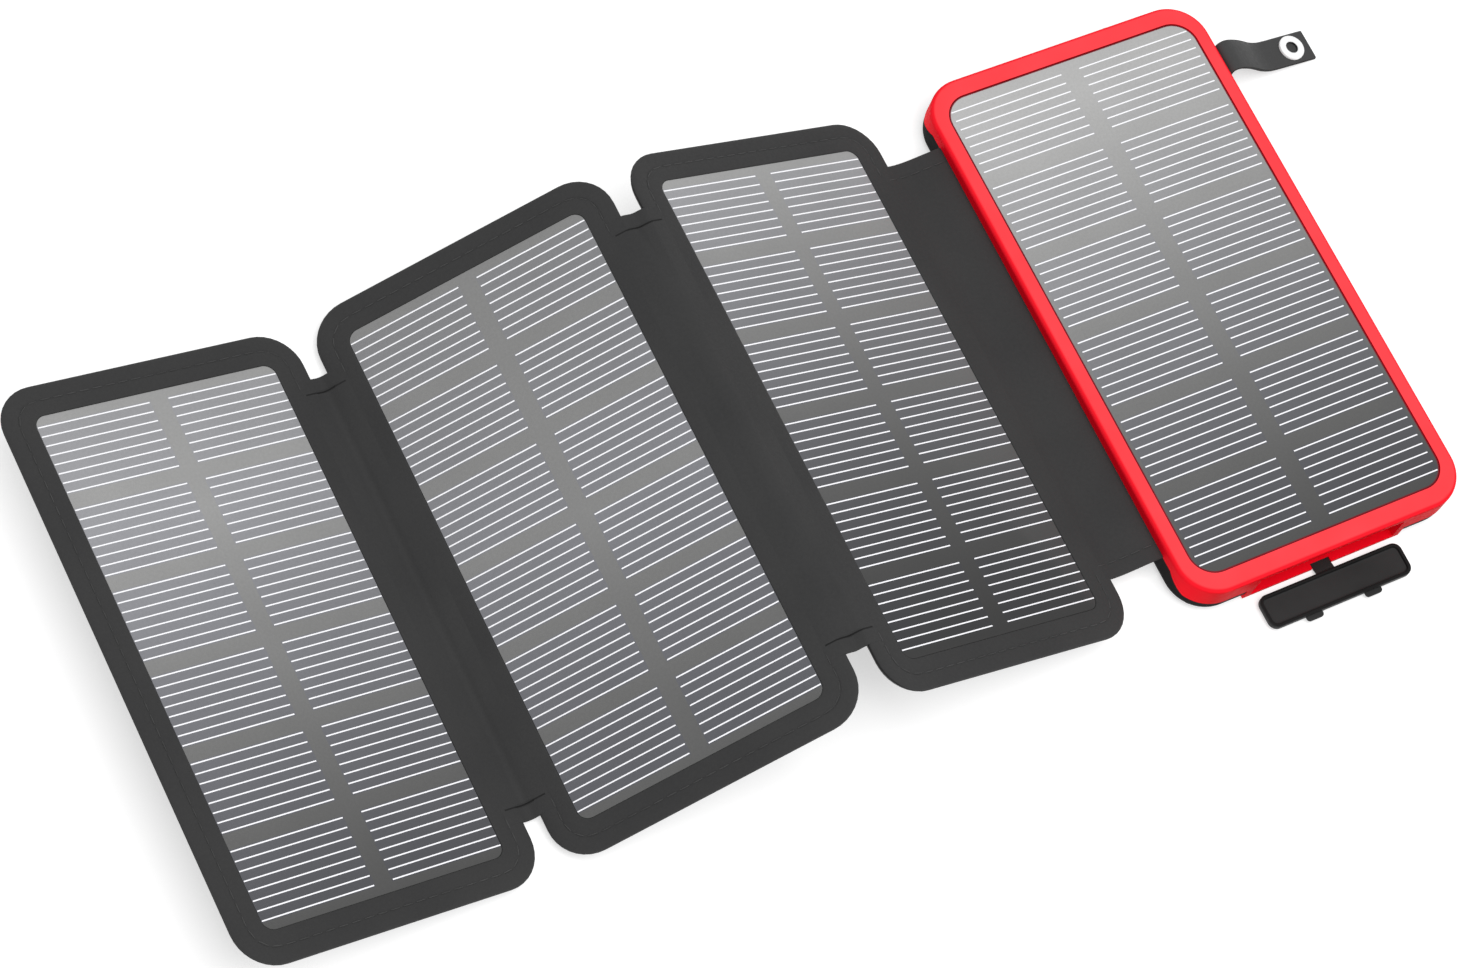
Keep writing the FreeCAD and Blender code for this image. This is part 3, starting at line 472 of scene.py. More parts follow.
def soft_touch_red():
    """Red soft-touch coating with light painted in by which way a surface faces: walls painted deep
    red as shade, the wall facing -X and the shoulders painted brighter, up-facing ledges low down
    painted bright red as light, and the top painted a light pink red as sheen.
    """
    look = Look("bumper_red", Specular_IOR_Level=0.02)
    coords = look.add("ShaderNodeTexCoord")
    split = look.add("ShaderNodeSeparateXYZ")
    look.link(coords.outputs["Normal"], split.inputs[0])
    # Masks from the object's own normals and height, which choose the painted shade, light and sheen
    # below.
    shoulder = look.span(split.outputs["Z"], 0.10, 0.60)
    crown = look.span(split.outputs["Z"], 0.84, 0.985)
    west_painted_light = look.span(look.math("MULTIPLY", split.outputs["X"], -1.0), 0.3, 0.9)
    place = look.add("ShaderNodeSeparateXYZ")
    look.link(look.vector, place.inputs[0])
    high = look.span(place.outputs["Z"], 6.0, 10.0)
    drift = look.span(look.noise(0.06, 3.0), 0.3, 0.7)
    # The drift is the coating's own random tone; the walls are painted deep red as shade.
    side = look.mix(drift, (0.54, 0.0010, 0.0050), (0.62, 0.0015, 0.0065))
    # Painted sheen: the top a lighter pink red.
    top = look.mix(drift, (0.90, 0.052, 0.062), (0.96, 0.062, 0.074))
    # Painted light: the wall facing -X brighter red.
    side = look.mix(west_painted_light, side, (0.95, 0.0040, 0.0160))
    # Painted light: the shoulder between wall and top brighter red.
    bend = look.mix(shoulder, side, (0.92, 0.0120, 0.0240))
    # Painted light: up-facing ledges below 6 mm bright red; above 10 mm the top's painted sheen.
    ledge = look.mix(high, (0.97, 0.0040, 0.0160), top)
    look.colour(look.mix(crown, bend, ledge))
    look.rough(look.span(look.noise(0.35, 4.0), 0.3, 0.7, 0.42, 0.52))
    look.bump(look.noise(2.4, 3.0), 0.02, 0.5)
    return look.material


def finger_silver():
    """Screen-printed silver paste: nearly white, slightly uneven."""
    look = Look("finger_silver", coords="UV", Coat_Weight=0.6, Coat_Roughness=0.1)
    paste = look.span(look.noise(2.0, 3.0), 0.3, 0.7)
    look.colour(look.mix(paste, (0.90, 0.90, 0.94), (0.98, 0.98, 1.0)))
    look.rough(look.span(paste, 0, 1, 0.35, 0.5))
    return look.material


RED = soft_touch_red()
# Dark red painted on the main solar face's rolled edge, as the shade in the gap to the red frame.
SEAM_SHADE_RED = moulded("window_seam_shade_red", (0.13, 0.004, 0.010), (0.20, 0.008, 0.016), 0.7)
BLACK = moulded("shell_black", (0.006, 0.006, 0.006), (0.011, 0.011, 0.011), 0.6,
                Specular_IOR_Level=0.04)
RUBBER = moulded("cover_rubber", (0.022, 0.022, 0.022), (0.031, 0.031, 0.031), 0.6, depth=0.03,
                 Specular_IOR_Level=0.25)
# Darker rubber for the port cover's walls and rim, painted as shade.
RIM_SHADE_RUBBER = moulded("cover_rim_shade_rubber", (0.007, 0.007, 0.007), (0.012, 0.012, 0.012), 0.5,
                     Specular_IOR_Level=0.2)
BUTTON = moulded("button_black", (0.02, 0.02, 0.021), (0.03, 0.03, 0.031), 0.35)
EPOXY = moulded("chip_epoxy", (0.012, 0.012, 0.013), (0.022, 0.022, 0.023), 0.55)
SOCKET_BLACK = moulded("socket_plastic", (0.014, 0.014, 0.015), (0.022, 0.022, 0.022), 0.45)
FERRITE = moulded("coil_ferrite", (0.035, 0.035, 0.037), (0.06, 0.06, 0.062), 0.75, 1.4, 0.05)
FOAM = moulded("foam_black", (0.01, 0.01, 0.01), (0.02, 0.02, 0.02), 0.95, 1.0, 0.3)
BOARD_GREY = moulded("pressed_board", (0.11, 0.11, 0.11), (0.16, 0.16, 0.155), 0.85, 1.2, 0.06)
LEAD_RED = moulded("lead_insulation", (0.30, 0.012, 0.012), (0.42, 0.02, 0.02), 0.4)
SNAP_WHITE = moulded("snap_white", (0.90, 0.90, 0.90), (0.95, 0.95, 0.95), 0.25, depth=0.004)
SNAP_BLACK = moulded("snap_black", (0.018, 0.018, 0.019), (0.028, 0.028, 0.03), 0.3, depth=0.006)
LED = moulded("led_milky", (0.72, 0.70, 0.52), (0.85, 0.83, 0.68), 0.3)
STEEL = metal("screw_steel", (0.045, 0.045, 0.047), (0.075, 0.075, 0.078), 0.38)
PLATED = metal("socket_plating", (0.58, 0.58, 0.60), (0.74, 0.74, 0.75), 0.24)
GOLD = metal("contact_gold", (0.72, 0.50, 0.16), (0.86, 0.64, 0.26), 0.25)
CAN = metal("capacitor_can", (0.62, 0.62, 0.64), (0.76, 0.76, 0.78), 0.3)
FOIL = metal("battery_foil", (0.52, 0.52, 0.54), (0.66, 0.66, 0.68), 0.42, (1, 3, 1))
GREEN = laminate("circuit_green", (0.012, 0.060, 0.030), (0.030, 0.110, 0.055))
CLEAR = clear("clear_moulding", (0.92, 0.94, 0.95), (0.80, 0.83, 0.85))
LEATHER = leather("leather_charcoal", (0.0300, 0.0300, 0.0305), (0.0390, 0.0390, 0.0390))
STRAP_LEATHER = leather("leather_strap", (0.046, 0.046, 0.0465), (0.060, 0.060, 0.060))
# Dark for the leather's cut edges, and painted shade in the gussets' deep creases.
CUT_EDGE_AND_CREASE_SHADE = moulded("leather_cut_edge_and_crease_shade", (0.008, 0.008, 0.008), (0.016, 0.016, 0.016), 0.85, 3.0, 0.06)
THREAD = moulded("thread_charcoal", (0.040, 0.040, 0.040), (0.060, 0.060, 0.060), 0.6, 6.0, 0.03)
SILVER = finger_silver()

NODE_LOOKS = {
    "bumper_frame": RED,
    "bottom_shell": BLACK,
    "corner_screws": STEEL,
    "main_solar_board": GREEN,
    "usb_a_shell_left": PLATED,
    "usb_a_shell_right": PLATED,
    "micro_usb_shell": PLATED,
    "socket_tongues": SOCKET_BLACK,
    "usb_a_contacts": GOLD,
    "port_cover_anchor": RUBBER,
    "circuit_board": GREEN,
    "control_chip": EPOXY,
    "power_coil": FERRITE,
    "capacitors": CAN,
    "battery_cell_1": FOIL,
    "battery_cell_2": FOIL,
    "foam_pad": FOAM,
    "battery_leads": LEAD_RED,
    "end_board": GREEN,
    "power_button": BUTTON,
    "button_switch": EPOXY,
    "charge_light_pipes": CLEAR,
    "torch_lens": CLEAR,
    "end_leds": LED,
    "end_ribbon": LEAD_RED,
    "snap_socket": SNAP_WHITE,
    "snap_cap": SNAP_BLACK,
    "snap_stud": SNAP_WHITE,
}
for number in (1, 2, 3):
    NODE_LOOKS["panel_%d_board" % number] = GREEN
    NODE_LOOKS["panel_%d_stiffener" % number] = BOARD_GREY


def finish_nodes():
    """Gives every CAD node that stays its procedural material."""
    for node, material in NODE_LOOKS.items():
        slots = frame["nodes"][node].data.materials
        slots.clear()
        slots.append(material)


# ---- where things are ----
def joint_place(name):
    joint = [j for j in frame["joints"] if j["name"] == name][0]
    return Vector(joint["pos_m"]) / MM


class PanelFrame:
    """A fold-out panel's own frame: origin mid front, x to its right edge, z out of its face."""

    def __init__(self, number):
        mesh = frame["nodes"]["panel_%d_front" % number].data
        up = [p for p in mesh.polygons if p.normal.z > 0.5]
        out = max(up, key=lambda p: p.area).normal.normalized()
        self.tilt = math.atan2(out.x, out.z)
        turn = Matrix.Rotation(self.tilt, 4, "Y")
        local = [turn.inverted() @ v.co for v in mesh.vertices]
        xs = [p.x for p in local]
        middle = Vector(((min(xs) + max(xs)) / 2, 0, max(p.z for p in local)))
        self.centre = turn @ middle / MM
        self.turn = turn
        self.matrix = Matrix.Translation(self.centre * MM) @ turn @ Matrix.Scale(MM, 4)
        self.body = "fold_panel_%d" % number

    def at(self, x, y, z):
        """A place of the panel's own frame in the row frame, in mm."""
        return self.centre + self.turn @ Vector((x, y, z))


PANELS = {number: PanelFrame(number) for number in (1, 2, 3)}
MILLIMETRES = Matrix.Scale(MM, 4)


# ---- solar faces ----
def line_places(rule):
    """The middle (x, y) of every ruled line."""
    period = (LINES - 1) * rule["pitch"] + rule["group_gap"]
    middle = rule["column_gap"] / 2 + rule["length"] / 2
    places = []
    for side in (-1, 1):
        for group in range(GROUPS):
            for line in range(LINES):
                y = (group - (GROUPS - 1) / 2) * period + (line - (LINES - 1) / 2) * rule["pitch"]
                places.append((side * middle, y))
    return places


def solar_face(name, size, top, rule, looks, edge_w):
    """One glossy face plate with rolled edges, and its printed lines standing just proud of it."""
    width, length, radius = size
    rings = []
    sides = ((0.0, top - FACE_T), (0.0, top - 0.12), (0.04, top - 0.03), (edge_w, top))
    for inset, z in sides:
        rings.append(rounded_ring(width - 2 * inset, length - 2 * inset, radius - inset, z))
    points, faces = loft(rings)
    # Sides, underside and rolled edge take the third look; on the main face that is dark red painted
    # as shade.
    slots = [2] * (len(faces) - 1) + [0]
    half = rule["length"] / 2
    for x, y in line_places(rule):
        first = len(points)
        x0, x1, y0, y1 = x - half, x + half, y - LINE_W / 2, y + LINE_W / 2
        outline = ((x0, y0), (x1, y0), (x1, y1), (x0, y1))
        for z in (top - LINE_H, top + LINE_H / 2):
            points += [Vector((px, py, z)) for px, py in outline]
        box = [(3, 2, 1, 0), (4, 5, 6, 7), (0, 1, 5, 4), (1, 2, 6, 5), (2, 3, 7, 6), (3, 0, 4, 7)]
        faces += [tuple(first + k for k in face) for face in box]
        slots += [1] * len(box)
    return build(name, points, faces, slots=slots, materials=looks)


def main_face():
    low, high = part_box("main_solar_cover")
    size = ((high.x - low.x) / MM, (high.y - low.y) / MM, MAIN_FACE_R)
    glaze = solar_glaze("solar_glaze_main", MAIN_RULE, size[1], MAIN_REFLECTION_TONES)
    looks = (glaze, SILVER, SEAM_SHADE_RED)
    piece = solar_face("main_solar_face", size, high.z / MM, MAIN_RULE, looks, SEAM_W)
    piece.data.transform(MILLIMETRES)
    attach(piece, "power_bank")
    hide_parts("main_solar_cover", "main_solar_cells")


def fold_face(number):
    name = "panel_%d_" % number
    size = (WINDOW_W - 2 * WINDOW_GAP, WINDOW_L - 2 * WINDOW_GAP, WINDOW_R)
    glaze = solar_glaze("solar_glaze_%d" % number, FOLD_RULE, size[1], FOLD_REFLECTION_TONES[number])
    looks = (glaze, SILVER, glaze)
    piece = solar_face(name + "solar_face", size, -FACE_RECESS, FOLD_RULE, looks, FACE_EDGE_W)
    piece.data.transform(PANELS[number].matrix)
    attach(piece, PANELS[number].body)
    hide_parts(name + "cover", name + "cells")


# ---- leather panels ----
# How far in from the window's edge or the outer edge, and how high, the leather's skin runs. The
# third value is 1 where the stitch line presses a groove, the fourth 1 where the sheet is cut.
SKIN = [
    ("window", 0.0, -0.62, 0, 0),
    ("window", 0.0, -0.24, 0, 0),
    ("window", 0.07, -0.10, 0, 0),
    ("window", 0.22, -0.02, 0, 0),
    ("window", 0.45, 0.0, 0, 0),
    ("outer", STITCH_INSET + 0.5, 0.0, 0, 0),
    ("outer", STITCH_INSET + 0.2, 0.0, 0.5, 0),
    ("outer", STITCH_INSET, 0.0, 1, 0),
    ("outer", STITCH_INSET - 0.2, 0.0, 0.5, 0),
    ("outer", STITCH_INSET - 0.5, 0.0, 0, 0),
    ("outer", 1.5, 0.0, 0, 0),
    ("outer", 0.7, -0.05, 0, 0),
    ("outer", 0.25, -0.16, 0, 0),
    ("outer", 0.04, -0.34, 0, 0),
    ("outer", 0.0, -0.48, 0, 1),
    ("outer", 0.0, -0.92, 0, 1),
    ("outer", 0.22, -1.04, 0, 1),
    ("outer", 0.16, -1.16, 0, 0),
    ("outer", 0.45, -1.72, 0, 0),
    ("outer", 1.0, -2.4, 0, 0),
    ("outer", 1.9, -2.82, 0, 0),
    ("outer", 3.2, -PANEL_T, 0, 0),
    ("outer", STITCH_INSET - 0.3, -PANEL_T, 0, 0),
    ("outer", STITCH_INSET, -PANEL_T, -1, 0),
    ("outer", STITCH_INSET + 0.3, -PANEL_T, 0, 0),
    ("outer", 8.0, -PANEL_T, 0, 0),
]
SIDE_STATIONS = (-59.5, -57.5, -40, -20, 0, 20, 40, 57.5, 59.5)
END_STATIONS = (-20, 0, 20)


def beside_gusset(x, y, gussets):
    """True where a panel's side runs along a gusset, so that no stitches follow it."""
    side = 1 if x > 0 else -1
    return abs(y) < SEAM_Y and abs(x) > PANEL_W / 2 - 2 * STITCH_INSET and side in gussets


def panel_leather(number, gussets):
    """Leather sleeve of one panel: front with its window, pressed edge and padded back."""
    rings = []
    for kind, inset, z, groove, cut in SKIN:
        if kind == "window":
            size = (WINDOW_W + 2 * inset, WINDOW_L + 2 * inset, WINDOW_R + inset)
        else:
            size = (PANEL_W - 2 * inset, PANEL_L - 2 * inset, PANEL_R - inset)
        ring = rounded_ring(*size, z, SIDE_STATIONS, END_STATIONS)
        for p in ring:
            if not beside_gusset(p.x, p.y, gussets):
                p.z -= groove * GROOVE_DEPTH
        rings.append(list(reversed(ring)))
    points, faces = loft(rings)
    n = len(rings[0])
    slots = []
    for r in range(len(rings) - 1):
        slots += [1 if SKIN[r][4] else 0] * n
    slots += [0, 0]
    looks = (LEATHER, CUT_EDGE_AND_CREASE_SHADE)
    piece = build("panel_%d_leather" % number, points, faces, slots=slots, materials=looks)
    piece.data.transform(PANELS[number].matrix)
    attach(piece, PANELS[number].body)
    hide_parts("panel_%d_front" % number, "panel_%d_back" % number)


def panel_stitches(number, gussets):
    """The stitch line round a panel, on its front and its back."""
    inset = 2 * STITCH_INSET
    ring = rounded_ring(PANEL_W - inset, PANEL_L - inset, PANEL_R - STITCH_INSET, 0, steps=24)
    loop = [(p.x, p.y) for p in ring + ring[:1]]
    total = sum((Vector(q) - Vector(p)).length for p, q in zip(loop, loop[1:]))
    even = resample_line(loop, round(total / STITCH_PITCH))
    front = -GROOVE_DEPTH + STITCH_SINK
    back = -PANEL_T + GROOVE_DEPTH - STITCH_SINK
    outward = Vector((0, 0, 1))
    points = []
    faces = []
    for p, q in zip(even, even[1:]):
        middle = (p + q) / 2
        if beside_gusset(middle.x, middle.y, gussets):
            continue
        along = Vector((q.x - p.x, q.y - p.y, 0)).normalized()
        for z, up in ((front, outward), (back, -outward)):
            faces += tube_faces(len(points))
            points += tube_points(Vector((middle.x, middle.y, z)), along, up, STITCH_L, STITCH_R)
    piece = build("panel_%d_stitches" % number, points, faces, materials=(THREAD,))
    piece.data.transform(PANELS[number].matrix)
    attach(piece, PANELS[number].body)


# ---- leather gussets ----
def gusset_section(drop, dark):
    """The gusset's outline across its length: (y, height over the sheet's top, dark or not); dark
    marks the cut ends, and in a deep crease the groove, painted dark as shade.
    """
    half = GUSSET_HALF
    loop = [(-half + 0.12, 0.0, 0)]
    for y in (-SEAM_Y, SEAM_Y):
        loop += [(y - 0.55, 0.0, 0), (y - 0.2, -0.7 * drop, dark), (y, -drop, dark)]
        loop += [(y + 0.2, -0.7 * drop, 0), (y + 0.55, 0.0, 0)]
        if y < 0:
            loop += [(step, 0.0, 0) for step in (-40, -20, 0, 20, 40)]
    loop.append((half - 0.12, 0.0, 0))
    loop += [(half, -0.12, 1), (half, -GUSSET_T + 0.1, 1), (half - 0.1, -GUSSET_T, 0)]
    loop += [(y, -GUSSET_T, 0) for y in (40, 0, -40)]
    loop += [(-half + 0.1, -GUSSET_T, 1), (-half, -GUSSET_T + 0.1, 1), (-half, -0.12, 0)]
    return loop


def pressed(along, y):
    """How far the strap, wrapped over the closed stack, keeps a gusset's ends pushed in, in mm."""
    across = max(0.0, 1 - along ** 2) ** 2
    return PRESS_DEPTH * across * smooth_step((abs(y) - PRESS_FROM_Y) / PRESS_RAMP)


def gusset(name, path, laps, nodes, crease=GROOVE_DEPTH, press=None):
    """A sheet along a path of (place, normal, lift) in mm, with the stitch line across each end; where
    the crease is deep, a crease with its groove painted dark as shade stands there instead.
    """
    rings = []
    uv = []
    slots = []
    reach = 0.0
    for k, (place, normal, lift) in enumerate(path):
        if k:
            reach += (place - path[k - 1][0]).length
        creased = crease > GROOVE_DEPTH
        drop = 0.04 * creased if laps[k] else crease
        # In a deep crease the groove is painted dark, as shade.
        section = gusset_section(drop, int(creased))
        ring = []
        for y, z, cut in section:
            push = pressed(press[k], y) if press else 0.0
            ring.append(place + normal * (z + lift - push) + Vector((0, y, 0)))
        rings.append(ring)
        uv += [(reach, y) for y, z, cut in section]
    points, faces = loft(rings)
    for k in range(len(rings) - 1):
        slots += [cut for y, z, cut in section]
    threads, thread_faces = ([], []) if creased else gusset_threads(path, len(points))
    points += threads
    uv += [(p.x, p.y) for p in threads]
    faces += thread_faces
    slots += [0, 0] + [2] * len(thread_faces)
    points = [p * MM for p in points]
    piece = build(name, points, faces, uv, slots, (LEATHER, CUT_EDGE_AND_CREASE_SHADE, THREAD))
    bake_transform(piece)
    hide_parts(*nodes)


def gusset_threads(path, first):
    """Stitches across both ends of a gusset, laid along its path."""
    reach = [0.0]
    for (p, n, c), (q, m, d) in zip(path, path[1:]):
        reach.append(reach[-1] + (q - p).length)
    count = max(1, round(reach[-1] / STITCH_PITCH))
    points = []
    faces = []
    for k in range(count):
        want = reach[-1] * (k + 0.5) / count
        i = max(j for j in range(len(path) - 1) if reach[j] <= want)
        t = (want - reach[i]) / max(reach[i + 1] - reach[i], 1e-9)
        place = path[i][0].lerp(path[i + 1][0], t)
        up = path[i][1].lerp(path[i + 1][1], t).normalized()
        along = (path[i + 1][0] - path[i][0]).normalized()
        for y in (-SEAM_Y, SEAM_Y):
            faces += tube_faces(first + len(points))
            middle = place + Vector((0, y, 0)) - up * (GROOVE_DEPTH - 0.12)
            points += tube_points(middle, along, up, STITCH_L, STITCH_R)
    return points, faces


def fold_gusset(name, joint, near, far, nodes):
    """The gusset between two panels: the flat leather bent round the fold's pivot."""
    flat = GUSSET_FLAT[joint]
    pivot = joint_place(joint)
    near_panel, far_panel = PANELS[near], PANELS[far]
    local = near_panel.turn.inverted() @ (pivot - near_panel.centre)
    swing = far_panel.tilt - near_panel.tilt
    path = []
    laps = []
    laps_out = [0.4, CREASE_LAP - 1.2, CREASE_LAP]
    steps = [-flat / 2 - reach for reach in reversed(laps_out)]
    steps += [flat * (k / 12 - 0.5) for k in range(13)]
    steps += [flat / 2 + reach for reach in laps_out]
    for s in steps:
        weight = smooth_step(s / flat + 0.5)
        turn = Matrix.Rotation(near_panel.tilt + swing * weight, 4, "Y")
        place = pivot + turn @ Vector((-s, 0, -local.z))
        lap = abs(s) > flat / 2 + 0.01
        lift = -LAP_SINK if abs(s) > flat / 2 + CREASE_LAP - 0.01 else LAP_LIFT
        path.append((place, turn @ Vector((0, 0, 1)), lift))
        laps.append(lap)
    near_edge = near_panel.at(-PANEL_W / 2, 0, local.z)
    far_edge = far_panel.at(PANEL_W / 2, 0, local.z)
    press = [2 * s / flat for s in steps] if local.z < -PANEL_T else None
    gusset(name, path, laps, nodes, CREASE_DEPTH, press)


def wide_gusset():
    """The gusset beside the power bank: out of the casing's seam, then up onto panel 3's edge."""
    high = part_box("gusset_a_inner")[1]
    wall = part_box("bumper_frame")[0].x / MM
    panel = PANELS[3]
    top = high.z / MM
    clamp = Vector((high.x / MM, 0, top))
    start = Vector((wall - 0.5, 0, top))
    edge = panel.at(PANEL_W / 2, 0, 0)
    level = Vector((-1, 0, 0))
    onto = panel.turn @ level
    path = [(clamp, Vector((0, 0, 1)), 0.0), (start, Vector((0, 0, 1)), 0.0)]
    reach = (edge - start).length
    for k in range(1, 15):
        t = k / 15
        # Hermite curve: level out of the seam, and in line with the panel where it arrives.
        a = 2 * t ** 3 - 3 * t ** 2 + 1
        b = t ** 3 - 2 * t ** 2 + t
        c = -2 * t ** 3 + 3 * t ** 2
        d = t ** 3 - t ** 2
        place = start * a + level * (b * reach) + edge * c + onto * (d * reach)
        da = 6 * t ** 2 - 6 * t
        db = 3 * t ** 2 - 4 * t + 1
        dd = 3 * t ** 2 - 2 * t
        run = start * da + level * (db * reach) - edge * da + onto * (dd * reach)
        path.append((place, Vector((run.z, 0, -run.x)).normalized(), 0.0))
    out = panel.turn @ Vector((0, 0, 1))
    for s, lift in ((0.0, 0.006), (0.4, 0.012), (GUSSET_LAP / 2, 0.012), (GUSSET_LAP, -LAP_SINK)):
        path.append((edge + onto * s, out, lift))
    laps = [k < 1 or k > len(path) - 4 for k in range(len(path))]
    nodes = ("gusset_a_inner", "gusset_a_outer")
    gusset("gusset_a_leather", path, laps, nodes)


# ---- strap ----
# The strap's middle surface as (x, z): out of the seam, over a hump, down, and level to its tip.
STRAP_CURVE = [
    (39.5, 8.7),
    (42.0, 8.7),
    (42.98, 9.5),
    (43.05, 11.0),
    (43.5, 12.2),
    (44.6, 12.6),
    (46.0, 12.25),
    (47.8, 11.25),
    (49.9, 9.85),
    (52.4, 7.8),
    (55.2, 5.4),
    (58.4, 3.45),
    (61.5, 2.67),
    (64.5, 2.22),
    (69.0, 1.54),
    (74.0, 0.8),
]
STRAP_STEPS = 56
STRAP_STEP_L = 0.7


def strap_section():
    """Outline across the strap: (y, z from its middle, cut edge or not)."""
    half = STRAP_W / 2
    t = STRAP_T / 2
    crown = t + 0.02
    loop = [(-half + 0.35, t, 0), (-half / 2, crown, 0), (0, crown, 0), (half / 2, crown, 0)]
    loop += [(half - 0.35, t, 0), (half - 0.06, t - 0.16, 1)]
    loop += [(half, t - 0.4, 1), (half, -t + 0.3, 1)]
    loop += [(half - 0.2, -t, 0), (0, -t, 0), (-half + 0.2, -t, 1), (-half, -t + 0.3, 1)]
    loop += [(-half, t - 0.4, 1), (-half + 0.06, t - 0.16, 0)]
    return loop


def strap_part(name, curve, first, last, nodes):
    """The stretch of the strap between two steps of its curve."""
    rings = []
    uv = []
    section = strap_section()
    for k in range(first, last + 1):
        before = curve[max(k - 1, 0)]
        after = curve[min(k + 1, len(curve) - 1)]
        run = (after - before).normalized()
        place = Vector((curve[k].x, STRAP_Y, curve[k].y))
        up = Vector((-run.y, 0, run.x))
        rings.append([place + up * z + Vector((0, y, 0)) for y, z, cut in section])
        uv += [(k * STRAP_STEP_L, y) for y, z, cut in section]
    points, faces = loft([list(reversed(ring)) for ring in rings])
    flags = [cut for y, z, cut in section]
    flags = list(reversed(flags[:-1])) + [flags[-1]]
    slots = flags * (last - first) + [0, 1]
    uv = [(u, p.y) for (u, v), p in zip(uv, points)]
    piece = build(name, [p * MM for p in points], faces, uv, slots, (STRAP_LEATHER, CUT_EDGE_AND_CREASE_SHADE))
    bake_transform(piece)
    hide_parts(*nodes)


def strap():
    """The strap in two stretches that meet halfway down its slope."""
    curve = resample(STRAP_CURVE, STRAP_STEPS)
    root = joint_place("strap_root")
    bend = joint_place("strap_bend")
    middle = (root + bend) / 2
    split = min(range(len(curve)), key=lambda k: abs(curve[k].x - middle.x))
    nodes = ("strap_anchor", "strap_inner")
    strap_part("strap_lower_leather", curve, 0, split, nodes)
    nodes = ("strap_outer",)
    strap_part("strap_upper_leather", curve, split, STRAP_STEPS, nodes)


def snap_ring():
    """White snap ring on the strap's upper face, with the socket's hole in its middle."""
    low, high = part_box("snap_socket")
    centre = (low + high) / 2 / MM
    (x0, z0), (x1, z1) = STRAP_CURVE[-2:]
    tilt = math.atan2(z0 - z1, x1 - x0)
    profile = [(SNAP_R - 0.2, -0.5), (SNAP_R, -0.3), (SNAP_R, 0.2), (SNAP_R - 0.12, 0.4)]
    profile += [(SNAP_R - 0.35, 0.5), (SNAP_HOLE_R + 0.35, 0.5), (SNAP_HOLE_R + 0.1, 0.42)]
    profile += [(SNAP_HOLE_R, 0.25), (SNAP_HOLE_R, -0.5)]
    turns = [2 * math.pi * k / 48 for k in range(48)]
    rings = []
    for radius, z in profile:
        rings.append([Vector((radius * math.cos(t), radius * math.sin(t), z)) for t in turns])
    points, faces = loft(rings, hollow=True)
    # Only the wall of the hole is dark: the last band but one.
    n = len(turns)
    slots = [0] * (len(profile) - 2) * n + [1] * n + [0] * n
    piece = build("snap_ring", points, faces, slots=slots, materials=(SNAP_WHITE, SNAP_BLACK))
    turn = Matrix.Rotation(tilt, 4, "Y")
    piece.data.transform(Matrix.Translation(centre * MM) @ turn @ MILLIMETRES)
    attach(piece, "strap_end")
    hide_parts("snap_socket")


# ---- port cover ----
def port_cover():
    """Rubber cover lying open: a shallow tray with a rolled rim and two tabs on its outer edge."""
    low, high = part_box("port_cover")
    z0 = low.z / MM
    z1 = high.z / MM
    profile = [(0.5, z0), (0.16, z0 + 0.12), (0.0, z0 + 0.4), (0.0, z1 - 0.3), (0.1, z1 - 0.08)]
    profile += [(0.35, z1), (0.7, z1), (0.92, z1 - 0.08), (1.02, z1 - 0.3), (1.1, z1 - 0.66)]
    profile += [(1.35, z1 - 0.78), (1.8, z1 - 0.8)]
    rings = []
    for inset, z in profile:
        radius = max(LID_R - inset, 0.5)
        size = (LID_W - 2 * inset, LID_L - 2 * inset, radius)
        rings.append(rounded_ring(*size, z, ends=(0,)))
    points, faces = loft(rings)
    n = len(rings[0])
    # The outer wall, the rim and its inner wall are painted darker than the tray's floor, as shade.
    rim = n * 9
    slots = [1] * rim + [0] * (len(faces) - rim)
    mid_y = LID_EDGE_Y - LID_L / 2
    points = [p + Vector((0, mid_y, 0)) for p in points]
    tab_z = z0 + 0.75
    for x in (-LID_TAB_X, LID_TAB_X):
        rings = []
        for inset, z in ((0.25, -0.4), (0.0, -0.2), (0.0, 0.2), (0.25, 0.4)):
            size = (LID_TAB_W - 2 * inset, LID_TAB_DEPTH - 2 * inset, LID_TAB_R - inset)
            rings.append(rounded_ring(*size, tab_z + z))
        tab_points, tab_faces = loft(rings)
        first = len(points)
        middle = LID_EDGE_Y - LID_L - LID_TAB_L + LID_TAB_DEPTH / 2
        points += [p + Vector((x, middle, 0)) for p in tab_points]
        faces += [tuple(first + k for k in face) for face in tab_faces]
        slots += [0] * len(tab_faces)
    lid = build("port_cover_tray", points, faces, slots=slots, materials=(RUBBER, RIM_SHADE_RUBBER))
    lid.data.transform(MILLIMETRES)
    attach(lid, "port_lid")
    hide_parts("port_cover")


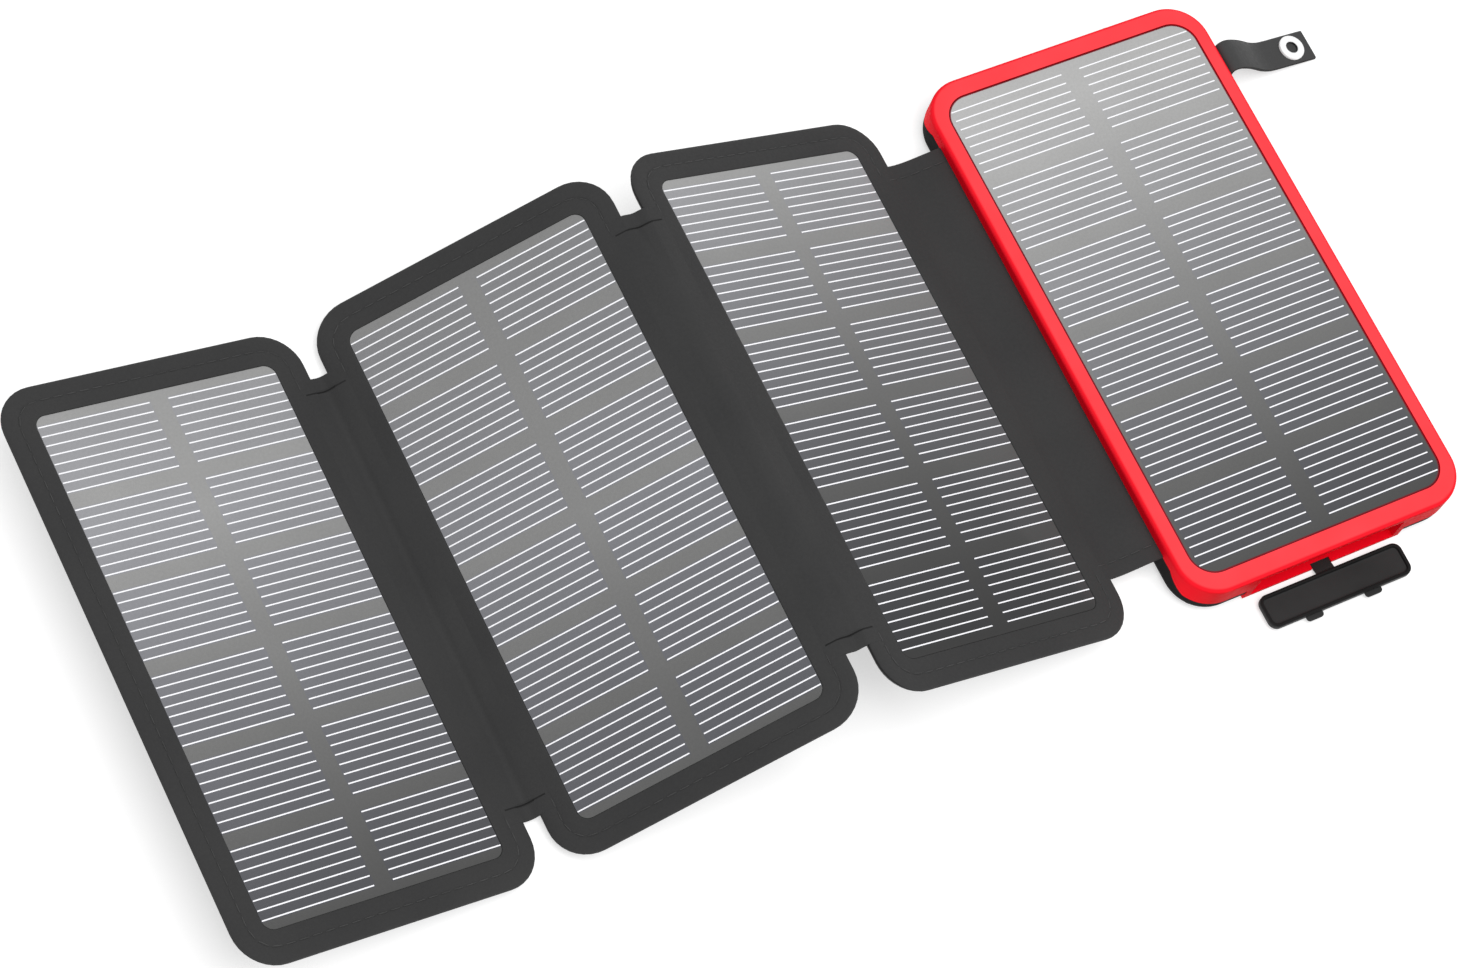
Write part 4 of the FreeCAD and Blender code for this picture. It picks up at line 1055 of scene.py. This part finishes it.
def port_stalk():
    """The rubber strip that ties the open cover to its anchor in the port bay."""
    anchor_low, anchor_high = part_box("port_cover_anchor")
    z0 = (anchor_low.z + anchor_high.z) / 2 / MM
    z1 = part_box("port_cover")[0].z / MM + 0.5
    y0 = anchor_low.y / MM + 0.5
    y1 = LID_EDGE_Y - 0.5
    rings = []
    w = STALK_W / 2
    h = STALK_T / 2
    for k in range(STALK_STEPS + 1):
        t = k / STALK_STEPS
        y = y0 + (y1 - y0) * t
        z = z0 + (z1 - z0) * smooth_step(t)
        ring = [(-w + 0.15, h), (w - 0.15, h), (w, h - 0.15), (w, -h + 0.15), (w - 0.15, -h)]
        ring += [(-w + 0.15, -h), (-w, -h + 0.15), (-w, h - 0.15)]
        rings.append([Vector((x, y, z + dz)) for x, dz in ring])
    points, faces = loft(rings[::-1])
    stalk = build("port_cover_stalk", [p * MM for p in points], faces, materials=(RUBBER,))
    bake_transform(stalk)


# ---- floor, light and camera ----
def stage():
    """A plain pale floor, an overhead softbox, and an even white surround."""
    corners = ((-1, -1), (1, -1), (1, 1), (-1, 1))
    points = [Vector((x * FLOOR_HALF, y * FLOOR_HALF, FLOOR_Z)) for x, y in corners]
    look = Look("pale_floor", Roughness=0.9, Specular_IOR_Level=0.1, Emission_Strength=FLOOR_GLOW)
    look.shader.inputs["Emission Color"].default_value = (1.0, 1.0, 1.0, 1.0)
    drift = look.span(look.noise(0.004, 2.0), 0.3, 0.7)
    look.colour(look.mix(drift, (0.58, 0.58, 0.58), (0.62, 0.62, 0.62)))
    floor = build("floor", points, [(0, 1, 2, 3)], materials=(look.material,))
    world = bpy.data.worlds.new("surround")
    world.use_nodes = True
    background = world.node_tree.nodes["Background"]
    background.inputs["Color"].default_value = (1.0, 1.0, 1.0, 1.0)
    background.inputs["Strength"].default_value = SURROUND_STRENGTH
    bpy.context.scene.world = world
    softbox()
    scene = bpy.context.scene
    scene.view_settings.view_transform = "Standard"
    scene.view_settings.look = "None"


def softbox():
    """A square overhead softbox that faces the middle of the object."""
    data = bpy.data.lights.new("key", "AREA")
    data.shape = "SQUARE"
    data.size = KEY_SIZE
    data.energy = KEY_POWER
    lamp = bpy.data.objects.new("key", data)
    lamp.location = KEY_PLACE
    lamp.visible_glossy = False
    aim = Vector(KEY_AIM) - Vector(KEY_PLACE)
    lamp.rotation_euler = aim.to_track_quat("-Z", "Y").to_euler()
    bpy.context.scene.collection.objects.link(lamp)


def camera():
    data = bpy.data.cameras.new("camera")
    data.lens = CAMERA_LENS
    data.sensor_width = CAMERA_SENSOR
    data.clip_start = 0.05
    data.clip_end = 20.0
    back = -Vector(CAMERA_LOOK).normalized()
    right = Vector(CAMERA_RIGHT)
    right = (right - back * right.dot(back)).normalized()
    up = back.cross(right)
    turn = Matrix((right, up, back)).transposed()
    holder = bpy.data.objects.new("camera", data)
    holder.matrix_world = Matrix.Translation(CAMERA_PLACE) @ turn.to_4x4()
    bpy.context.scene.collection.objects.link(holder)
    bpy.context.scene.camera = holder


camera()
stage()
finish_nodes()
main_face()
for number in (3, 2, 1):
    fold_face(number)
for number, gussets in ((3, (-1, 1)), (2, (-1, 1)), (1, (1,))):
    panel_leather(number, gussets)
    panel_stitches(number, gussets)
wide_gusset()
fold_gusset("gusset_b_leather", "fold_b", 3, 2, ("gusset_b_right", "gusset_b_left"))
fold_gusset("gusset_c_leather", "fold_c", 2, 1, ("gusset_c_right", "gusset_c_left"))
strap()
snap_ring()
port_cover()
port_stalk()
